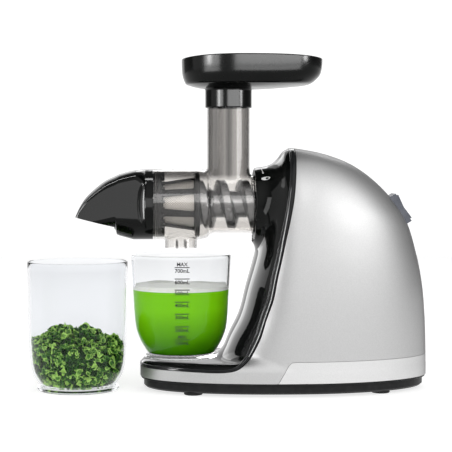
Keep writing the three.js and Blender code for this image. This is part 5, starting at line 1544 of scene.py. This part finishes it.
def hopper_tray():
    """One closed skin: collar, underside, rim, inside and hole."""
    dense = np.clip(curve_through([(0.0, 0.0)] + TRAY_SHARES, 6), 0, 1)
    rings = [chute_ring(radius, z) for radius, z in COLLAR_ROWS]
    rings += [tray_ring(s, TRAY_FLOOR + TRAY_DEPTH * d, 0, TRAY_CROWN * d * d) for s, d in dense[1:-1]]
    for angle in np.linspace(0, math.pi, 9):
        inset = TRAY_WALL / 2 * (1 - math.cos(angle))
        z = TRAY_FLOOR + TRAY_DEPTH - TRAY_WALL / 2 * (1 - math.sin(angle))
        rings.append(tray_ring(1.0, z, inset, TRAY_CROWN))
    for s, d in dense[::-1]:
        if d <= TRAY_INNER_TOP:
            z = TRAY_FLOOR + TRAY_WALL + (TRAY_DEPTH - TRAY_WALL) * d
            rings.append(tray_ring(s, z, TRAY_WALL, TRAY_CROWN * d * d))
    rings += [chute_ring(radius, z) for radius, z in HOLE_ROWS]
    return loft(rings, looped=True)


# Cups and what is in them

def cup_outline(height, foot, shares):
    """Outer outline of a cup above its foot, as (height, radius)."""
    points = [(CUP_FOOT_HEIGHT, foot - CUP_FOOT_SETBACK)]
    points += [(height * z, CUP_RADIUS * r) for r, z in shares]
    points.append((height, CUP_RADIUS))
    return curve_through(points, 10)


def cup_inner(height, foot, shares):
    """Inner outline, from the floor's edge to the rim."""
    outer = cup_outline(height, foot, shares)
    inner = outer + runs_along(outer)[:, [1, 0]] * (CUP_WALL, -CUP_WALL)
    low, high = CUP_FLOOR + CUP_INNER_MARGINS[0], height - CUP_INNER_MARGINS[1]
    return [tuple(p) for p in inner if low < p[0] < high]


def cup(form, center):
    height, foot, _ = form
    profile = [(CUP_UNDERSIDE, 0.0)] + [(z, foot - CUP_FOOT_WIDTH + out) for z, out in CUP_FOOT_INNER]
    profile += [(z, foot - back) for z, back in CUP_FOOT_OUTER]
    profile += [(CUP_FOOT_HEIGHT - down, foot - back) for down, back in CUP_FOOT_UPPER]
    profile += cup_outline(*form)[1:-1].tolist()
    for angle in np.linspace(0, math.pi, 7):
        z = height - CUP_WALL / 2 * (1 - math.sin(angle))
        profile.append((z, CUP_RADIUS - CUP_WALL / 2 * (1 - math.cos(angle))))
    profile += cup_inner(*form)[::-1]
    floor_edge = profile[-1][1]
    profile += [(CUP_FLOOR + up, floor_edge - back) for up, back in CUP_FLOOR_ROUND]
    return lathe(profile + [(CUP_FLOOR, 0.0)], 160, "Z", center)


def juice():
    inner = [p for p in cup_inner(*JUICE_CUP_FORM) if p[0] < JUICE_LEVEL]
    low, high = inner[0][1], inner[-1][1]
    profile = [(CUP_FLOOR - JUICE_SUNK, 0.0), (CUP_FLOOR - JUICE_SUNK, low - JUICE_FLOOR_STEP)]
    profile.append((CUP_FLOOR + JUICE_EDGE_STEP[0], low - JUICE_EDGE_STEP[1]))
    profile += [(z, radius + JUICE_IN_WALL) for z, radius in inner]
    profile += [(JUICE_LEVEL, radius) for radius in (high + JUICE_IN_WALL, high * JUICE_TOP_SHARE, 0.0)]
    return lathe(profile, 160, "Z", (0, 0, JUICE_CUP_BASE))


def foam():
    """Foam on the juice, with an uneven upper edge against the cup's wall."""
    radius_at = reader(cup_inner(*JUICE_CUP_FORM))
    rings = []
    for over, share, lifted in FOAM_RINGS:
        ring = []
        for angle, cosine, sine in directions(160):
            waves = sum(size * math.sin(count * angle + phase) for count, size, phase in FOAM_WAVES)
            height = JUICE_LEVEL + over + (FOAM_LIFT + waves) * lifted
            radius = (radius_at(height) + JUICE_IN_WALL) * share
            ring.append((radius * cosine, radius * sine, JUICE_CUP_BASE + height))
        rings.append(ring)
    return loft(rings)


heap_rise = reader(HEAP_SHARES)
heap_lump = reader(HEAP_LUMPS)


def heap_height(x, y):
    """Top of the heap of greens over a place in the cup, from the table up."""
    rise = heap_rise(math.hypot(x, y) / HEAP_REACH)
    lump = heap_lump(x) * (1 - 0.5 * min(1.0, abs(y) / HEAP_REACH))
    return HEAP_EDGE + (HEAP_TOP - HEAP_EDGE) * rise - HEAP_LEAN * x / HEAP_REACH + lump


def leaf_scrap(size):
    """A curled scrap of leaf with a frilled rim, and how bright each point of it is: the scrap's own tone,
    with a painted highlight on its rim and painted shade on its underside.
    """
    tips = LEAF_TIPS
    frill = [random.uniform(0.72, 1.1) for _ in range(tips)]
    waves = random.uniform(1.5, 3.2)
    phase = random.uniform(0, 2 * math.pi)
    bright = random.random() ** 1.4
    verts = [(0, 0, 0.2 * size)]
    tones = [bright * 0.55]
    for reach in (0.55, 1.0):
        for i, (angle, cosine, sine) in enumerate(directions(tips)):
            radius = size * reach * (frill[i] if reach == 1 else 0.9)
            lift = size * 0.42 * math.sin(waves * angle + phase) * reach ** 2
            lift += size * random.uniform(-0.14, 0.14)
            verts.append((radius * cosine, radius * 0.8 * sine, lift))
            # The rim is painted brighter than the middle: a painted highlight where the curled rims catch the
            # light
            tones.append(bright * 0.6 if reach < 1 else min(1.0, bright * 0.8 + 0.22))
    top = len(verts)
    depth = max(LEAF_LEAST_WALL, 0.15 * size)
    verts += [(x * 0.96, y * 0.96, z - depth) for x, y, z in verts]
    # The underside is painted darker: painted shade under the scrap
    tones += [tone * 0.6 for tone in tones]
    faces = []
    for i in range(tips):
        j = (i + 1) % tips
        faces.append((0, 1 + i, 1 + j))
        faces.append((1 + i, 1 + tips + i, 1 + tips + j, 1 + j))
        faces.append((top, top + 1 + j, top + 1 + i))
        faces.append((top + 1 + i, top + 1 + j, top + 1 + tips + j, top + 1 + tips + i))
        faces.append((1 + tips + i, top + 1 + tips + i, top + 1 + tips + j, 1 + tips + j))
    return verts, faces, tones


def heap_shade_core(wall):
    """Core that fills the heap under its scraps, painted dark as the shade between them."""
    def ring(radius, height_at):
        points = [(radius * cosine, radius * sine) for _, cosine, sine in directions(HEAP_SIDES)]
        return [(PULP_CUP_X + x, y, height_at(x, y)) for x, y in points]

    def under_top(x, y):
        return heap_height(x, y) - CORE_DEPTH

    floor = CUP_FLOOR + HEAP_FLOOR_GAP
    rings = [[(PULP_CUP_X, 0, floor)]]
    for level in np.linspace(floor, HEAP_EDGE - CORE_SHOULDER, 10):
        rings.append(ring(wall(level) - CORE_WALL_GAP, lambda x, y: level))
    for share in (0.94, 0.8, 0.6, 0.4, 0.2):
        rings.append(ring((HEAP_REACH - CORE_EDGE_GAP) * share, under_top))
    rings.append([(PULP_CUP_X, 0, under_top(0, 0))])
    return loft(rings)


def held_in_cup(point, wall):
    """The point, moved straight in or up where it would stand in the cup's wall or floor."""
    radius = math.hypot(point.x - PULP_CUP_X, point.y)
    limit = wall(max(point.z, CUP_FLOOR + SCRAP_LEAST_HEIGHT)) - SCRAP_WALL_GAP
    inward = limit / radius if radius > limit else 1.0
    x = PULP_CUP_X + (point.x - PULP_CUP_X) * inward
    return x, point.y * inward, max(point.z, CUP_FLOOR + SCRAP_FLOOR_GAP)


def greens():
    """Chopped greens: a core painted dark as shade, many curled scraps that cover it, and each point's
    brightness, which holds painted highlight and shade.
    """
    random.seed(11)
    wall = reader(cup_inner(*PULP_CUP_FORM))
    parts = [heap_shade_core(wall)]
    tones = [CORE_SHADE_TONE] * len(parts[0][0])

    def scatter(x, y, z, direction, size):
        verts, faces, bright = leaf_scrap(size)
        turn = Vector((0, 0, 1)).rotation_difference(direction).to_matrix().to_4x4()
        spin = Matrix.Rotation(random.uniform(0, 2 * math.pi), 4, "Z")
        tip = Matrix.Rotation(random.uniform(-0.9, 0.9), 4, "X")
        place = Matrix.Translation(Vector((PULP_CUP_X + x, y, z))) @ turn @ tip @ spin
        parts.append(([held_in_cup(place @ Vector(p), wall) for p in verts], faces))
        tones.extend(bright)

    for _ in range(SIDE_SCRAPS):
        angle = random.uniform(0, 2 * math.pi)
        z = random.uniform(CUP_FLOOR + SIDE_SCRAP_START, HEAP_EDGE + SIDE_SCRAP_RISE)
        radius = wall(z) - random.uniform(*SIDE_SCRAP_DEPTHS)
        direction = Vector((math.cos(angle), math.sin(angle), random.uniform(-0.4, 0.6))).normalized()
        x, y = radius * math.cos(angle), radius * math.sin(angle)
        if z < heap_height(x, y):
            scatter(x, y, z, direction, random.uniform(*SIDE_SCRAP_SIZES))
    for _ in range(TOP_SCRAPS):
        angle = random.uniform(0, 2 * math.pi)
        radius = HEAP_REACH * math.sqrt(random.random())
        x, y = radius * math.cos(angle), radius * math.sin(angle)
        z = heap_height(x, y) + random.uniform(*TOP_SCRAP_HEIGHTS)
        direction = Vector((random.uniform(-0.8, 0.8), random.uniform(-0.8, 0.8), 1)).normalized()
        scatter(x, y, z, direction, random.uniform(*TOP_SCRAP_SIZES))
    return merged(*parts), tones


# Printed marks

def text_skin(words, height):
    """Flat outline of words in the built-in font, as wide as it comes, centred on X."""
    curve = bpy.data.curves.new("words", "FONT")
    curve.body = words
    curve.size = height
    curve.offset = 0.025 * height
    curve.align_x = "CENTER"
    curve.resolution_u = 3
    skin = read_mesh(put("words", curve))
    bpy.data.curves.remove(curve)
    return skin


def ribbon_faces(steps):
    """Faces between pairs of points, one pair after another."""
    return [(2 * i, 2 * i + 2, 2 * i + 3, 2 * i + 1) for i in range(steps)]


def bar_skin(width, height, steps=16):
    verts = []
    for x in np.linspace(-width / 2, width / 2, steps + 1):
        verts += [(x, -height / 2, 0), (x, height / 2, 0)]
    return verts, ribbon_faces(steps)


def wrapped_on_cup(skin, z):
    """Flat marks bent round the juice cup's front, a hair off its surface."""
    radius_at = reader(cup_outline(*JUICE_CUP_FORM))
    out = []
    for x, y, _ in skin[0]:
        radius = radius_at(z + y - JUICE_CUP_BASE) + SCALE_LIFT
        angle = x / radius
        out.append((radius * math.sin(angle), -radius * math.cos(angle), z + y))
    return out, skin[1]


def cup_scale():
    """Volume lines with plain figures, lowest and highest marked."""
    parts = []
    for words, z in SCALE_LINES.items():
        parts.append(wrapped_on_cup(bar_skin(*SCALE_LINE_SIZE), z))
        parts.append(wrapped_on_cup(text_skin(words, SCALE_FIGURE_SIZE), z - SCALE_FIGURE_DROP))
    for words, (line, size, rise) in SCALE_ENDS.items():
        parts.append(wrapped_on_cup(text_skin(words, size), SCALE_LINES[line] + rise))
    return merged(*parts)


def on_neck(tree, points):
    """Flat marks laid on the neck, from their X and their degrees up from its left side's middle."""
    out = []
    for x, degrees in points:
        angle = math.radians(degrees)
        outward = Vector((0.0, -math.cos(angle), math.sin(angle)))
        far = Vector((x, 0.0, AUGER_HEIGHT)) + outward * MARK_RAY_START
        out.append(tuple(tree.ray_cast(far, -outward)[0] + outward * MARK_LIFT))
    return out


def neck_marks(tree):
    """A line with a dot, and an oval with a small ring in it: where the drum locks."""
    def oval(mark, sides):
        x, degrees, half, half_degrees = mark
        return [(x + half * cosine, degrees + half_degrees * sine) for _, cosine, sine in directions(sides)]

    line = []
    for x, degrees in np.linspace(*MARK_LINE, MARK_LINE_STEPS + 1):
        line += [(x - MARK_LINE_HALF_WIDTH, degrees), (x + MARK_LINE_HALF_WIDTH, degrees)]
    rims = oval(MARK_OVAL, 40) + oval(MARK_OVAL_HOLE, 40)
    between = [(i, (i + 1) % 40, 40 + (i + 1) % 40, 40 + i) for i in range(40)]
    marks = [(line, ribbon_faces(MARK_LINE_STEPS)), (oval(MARK_DOT, 20), [tuple(range(20))]), (rims, between)]
    return merged(*[(on_neck(tree, points), faces) for points, faces in marks])


# Assembly

def assemble():
    """All pieces on their bodies. Returns those that the studio's lights ask for, by name."""
    tree, silver, skirt, panel = housing_pieces()
    strip = piece("dark_trim", trim_strip(tree), TRIM, "machine", ["edge_trim"], 60)
    piece("black_base", base_tray(), SATIN, "machine", ["base_tray"])
    for number, place in enumerate(FOOT_PLACES, 1):
        piece(f"rubber_foot_{number}", foot(*place), RUBBER, "machine", [f"foot_{number}"])
    drum = piece("drum", drum_skin(), SMOKE, "drum", ["drum_housing"], 50)
    piece("strainer_cage", strainer_frame(), CAGE, "drum", ["strainer_frame"])
    piece("strainer_mesh", strainer_screen(), SCREEN, "drum", ["strainer_screen"])
    screw = piece("screw_auger", auger(), AUGER, "drive", ["auger"], 45)
    cap = piece("snout", snout(), SNOUT_BLACK, "snout", ["end_cap"])
    tray = piece("food_tray", hopper_tray(), TRAY_BLACK, "tray", ["hopper_tray"], 50)
    fill_cups()
    piece("lock_marks", neck_marks(tree), WHITE_INK, "machine", sharp=60)
    return {
        "silver": silver, "skirt": skirt, "panel": panel, "strip": strip, "drum": drum, "auger": screw,
        "snout": cap, "tray": tray,
    }


def fill_cups():
    """Both cups, what is in them, and the scale. Cups and scale throw no shadow, and the juice cup
    with its contents doesn't show in the gloss of other pieces."""
    juice_cup = cup(JUICE_CUP_FORM, (0, 0, JUICE_CUP_BASE))
    pulp_cup = cup(PULP_CUP_FORM, (PULP_CUP_X, 0, 0))
    clear = piece("clear_juice_cup", juice_cup, CLEAR, "juice_cup_body", ["juice_cup"], 50)
    grey = piece("clear_pulp_cup", pulp_cup, GREY_CLEAR, "pulp_cup_body", ["pulp_cup"], 50)
    liquid = piece("green_juice", juice(), JUICE, "juice_cup_body")
    froth = piece("foam_layer", foam(), FOAM, "juice_cup_body", sharp=60)
    skin, tones = greens()
    heap = piece("chopped_greens", skin, GREENS, "pulp_cup_body", ["greens_heap"], 70)
    # Each point's tone, with the painted highlight and shade of the scraps and the core
    heap.data.attributes.new("tone", "FLOAT", "POINT").data.foreach_set("value", tones)
    scale = piece("volume_scale", cup_scale(), DARK_INK, "juice_cup_body", sharp=60)
    for obj in (clear, liquid, froth):
        obj.visible_glossy = False
    for obj in (clear, grey, scale):
        obj.visible_shadow = False
    scale.visible_diffuse = False
    scale.visible_transmission = False


# CAD nodes that show as they are, by material
KEPT_NODES = [
    (STEEL, [
        "foot_screw_1", "foot_screw_2", "foot_screw_3", "foot_screw_4", "motor_front_bracket",
        "motor_rear_bracket", "output_shaft", "auger_stub", "gear_cluster_shaft", "motor_can", "stator",
        "front_bearing", "rear_bearing", "rotor_shaft", "rotor_core",
    ]),
    (NYLON, [
        "gearbox_case", "gearbox_cover", "output_gear", "tip_bush", "gear_cluster_wheel", "cooling_fan",
    ]),
    (RUBBER, ["cord_gland", "shaft_seal", "auger_seal", "cap_seal"]),
    (SLATE, ["switch_bezel", "rocker_switch"]),
    (SATIN, ["capacitor", "lock_ring"]),
    (COPPER, ["front_winding", "rear_winding"]),
    (BRONZE, ["output_bush"]),
    (BOARD, ["control_board"]),
]


def dress_kept_nodes():
    """Materials for the CAD nodes that show, and rounded edges for the switch."""
    for material, names in KEPT_NODES:
        for name in names:
            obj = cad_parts[name]
            obj.data.materials.clear()
            obj.data.materials.append(material)
            if material is SLATE:
                soften = obj.modifiers.new("soft_edges", "BEVEL")
                soften.width = SWITCH_EDGE_ROUND * MM
                soften.segments = 3
                soften.limit_method = "ANGLE"


PIECES = assemble()
dress_kept_nodes()


# Studio, in metres

# The soft light in front: degrees to the right of the camera's line and degrees up
FRONT_LIGHT_SIDE = 20.0
FRONT_LIGHT_RISE = 25.0
FRONT_LIGHT_EDGE = (0.3, 0.97)
ROOM_LIGHT = 0.22
FRONT_LIGHT = 1.4
BACKDROP_Y = 2.2
BACKDROP_HALF_WIDTH = 1.6
BACKDROP_HEIGHT = 1.5
FLOOR_REACH = 6.0
FLOOR_TONE = 0.5
FLOOR_GLOW = 0.74
WALL_TONE = 0.2
WALL_GLOW = 0.99
# Lamps: name, place, what they aim at, width and height, level. Those after the first two light only
# the pieces named and show in their gloss.
LAMPS = [
    ("left_softbox", (-1.5, -0.3, 0.75), (0.0, 0, 0.15), (1.1, 1.1), 1.3),
    ("rear_softbox", (0.35, 1.3, 1.1), (0.05, 0, 0.15), (0.9, 0.5), 4.0),
    ("silver_right_light", (1.2, -1.0, 1.0), (0.1, 0, 0.15), (1.1, 0.8), 1.7, "silver", "skirt"),
    ("silver_left_light", (-1.45, -0.5, 0.7), (0.0, 0, 0.15), (1.2, 1.0), 1.7, "silver"),
    ("flare_light", (-0.89, 0.73, 0.5), (0.03, 0, 0.12), (1.4, 0.9), 3.6, "panel"),
    ("high_rear_light", (-0.6, 1.1, 0.95), (0.0, 0, 0.2), (1.4, 0.7), 1.6, "snout", "panel", "strip"),
    ("tray_left_light", (-1.15, -1.11, 0.52), (0.0, 0, 0.34), (0.9, 0.5), 22.0, "tray"),
    ("tray_right_light", (0.62, -1.48, 0.52), (0.0, 0, 0.34), (1.9, 0.5), 22.0, "tray"),
    ("tray_left_low", (-1.15, -1.11, 0.1), (0.0, 0, 0.34), (0.9, 0.25), 14.0, "tray"),
    ("tray_right_low", (0.62, -1.48, 0.1), (0.0, 0, 0.34), (1.9, 0.25), 14.0, "tray"),
    ("tray_left_spot", (-1.22, -1.03, 0.5), (0.0, 0, 0.34), (0.25, 0.3), 60.0, "tray"),
    ("tray_right_spot", (1.41, -0.75, 0.5), (0.0, 0, 0.34), (0.3, 0.3), 60.0, "tray"),
    ("snout_side_light", (-0.4, -1.4, 0.2), (0.0, 0, 0.2), (2.2, 1.1), 4.3, "snout"),
    ("snout_line", (-0.75, -0.03, 1.05), (-0.12, 0, 0.2), (0.12, 1.8), 40.0, "snout"),
    ("grip_left_light", (-1.2, -0.75, 0.25), (-0.1, 0, 0.2), (0.3, 0.9), 50.0, "snout"),
    ("grip_right_light", (1.1, -0.9, 0.25), (-0.1, 0, 0.2), (0.4, 0.9), 60.0, "snout"),
    ("strip_line", (-1.2, -0.75, 0.6), (0.05, 0, 0.15), (0.25, 1.2), 50.0, "strip"),
    ("panel_side_light", (-1.1, -1.0, 0.4), (0.05, 0, 0.2), (0.5, 1.0), 7.0, "panel"),
    ("drum_right_light", (1.3, -0.8, 0.3), (0.0, 0, 0.2), (0.9, 0.8), 5.0, "drum"),
    ("auger_light", (0.2, -1.25, 0.7), (0.0, 0, 0.2), (1.6, 0.7), 3.2, "auger", "drum"),
]


def seen_directly(nodes):
    """1 where the camera, gloss or glass looks at the surface."""
    path = nodes.add("LightPath")
    looked_at = nodes.math("MAXIMUM", path["Is Camera Ray"], path["Is Glossy Ray"])
    return nodes.math("MAXIMUM", looked_at, path["Is Transmission Ray"])


def room_light():
    """One big soft light in front, a little to the right, over an even dim room. The camera itself
    sees the room as white."""
    world = bpy.data.worlds.new("studio")
    bpy.context.scene.world = world
    nodes = Nodes(world, "Background")
    side, rise = math.radians(FRONT_LIGHT_SIDE), math.radians(FRONT_LIGHT_RISE)
    front = (math.sin(side) * math.cos(rise), -math.cos(side) * math.cos(rise), math.sin(rise))
    place = nodes.add("TexCoord")["Generated"]
    facing = nodes.add("VectorMath", place, front, operation="DOT_PRODUCT")["Value"]
    low, high = FRONT_LIGHT_EDGE
    level = nodes.add("MapRange", facing, low, high, ROOM_LIGHT, FRONT_LIGHT, interpolation_type="SMOOTHSTEP")
    seen = nodes.add("LightPath")["Is Camera Ray"]
    nodes.finish(Color=(1, 1, 1, 1), Strength=nodes.math("MAXIMUM", level["Result"], seen))


def stage_piece(name, corners, tone, glow):
    """A plain pale sheet of the studio that reads white to the camera and keeps shadows."""
    nodes = new_material(name)
    strength = nodes.math("MULTIPLY", seen_directly(nodes), glow)
    material = nodes.finish(
        Base_Color=(tone, tone, tone, 1), Roughness=0.8, Specular_IOR_Level=0.0,
        Emission_Color=(1, 1, 1, 1), Emission_Strength=strength)
    mesh = bpy.data.meshes.new(name)
    mesh.from_pydata(corners, [], [(0, 1, 2, 3)])
    mesh.materials.append(material)
    put(name, mesh)


def stage():
    reach, half = FLOOR_REACH, BACKDROP_HALF_WIDTH
    ground = [(-reach, -reach, 0), (reach, -reach, 0), (reach, reach, 0), (-reach, reach, 0)]
    stage_piece("studio_floor", ground, FLOOR_TONE, FLOOR_GLOW)
    wall = [(-half, BACKDROP_Y, 0), (half, BACKDROP_Y, 0)]
    wall += [(half, BACKDROP_Y, BACKDROP_HEIGHT), (-half, BACKDROP_Y, BACKDROP_HEIGHT)]
    stage_piece("studio_wall", wall, WALL_TONE, WALL_GLOW)


def soft_lamp(name, place, aim, size, level, *only_for):
    """A soft light of an even level, for all pieces or only for some."""
    light = bpy.data.lights.new(name, "AREA")
    light.shape = "RECTANGLE"
    light.size, light.size_y = size
    light.energy = level * math.pi * size[0] * size[1]
    obj = put(name, light)
    obj.location = place
    obj.rotation_euler = (Vector(aim) - Vector(place)).to_track_quat("-Z", "Y").to_euler()
    obj.visible_camera = False
    if only_for:
        obj.visible_diffuse = False
        group = bpy.data.collections.new(name)
        for lit in only_for:
            group.objects.link(PIECES[lit])
        obj.light_linking.receiver_collection = group


def camera():
    data = bpy.data.cameras.new("photo_camera")
    data.lens = CAMERA_LENS
    data.sensor_width = CAMERA_SENSOR
    obj = put("photo_camera", data)
    obj.location = CAMERA_PLACE
    obj.rotation_euler = (math.radians(90 - CAMERA_DIP_DEGREES), 0, math.radians(-CAMERA_YAW_DEGREES))
    bpy.context.scene.camera = obj


camera()
room_light()
stage()
for lamp in LAMPS:
    soft_lamp(*lamp)

bpy.context.scene.view_settings.view_transform = "Standard"
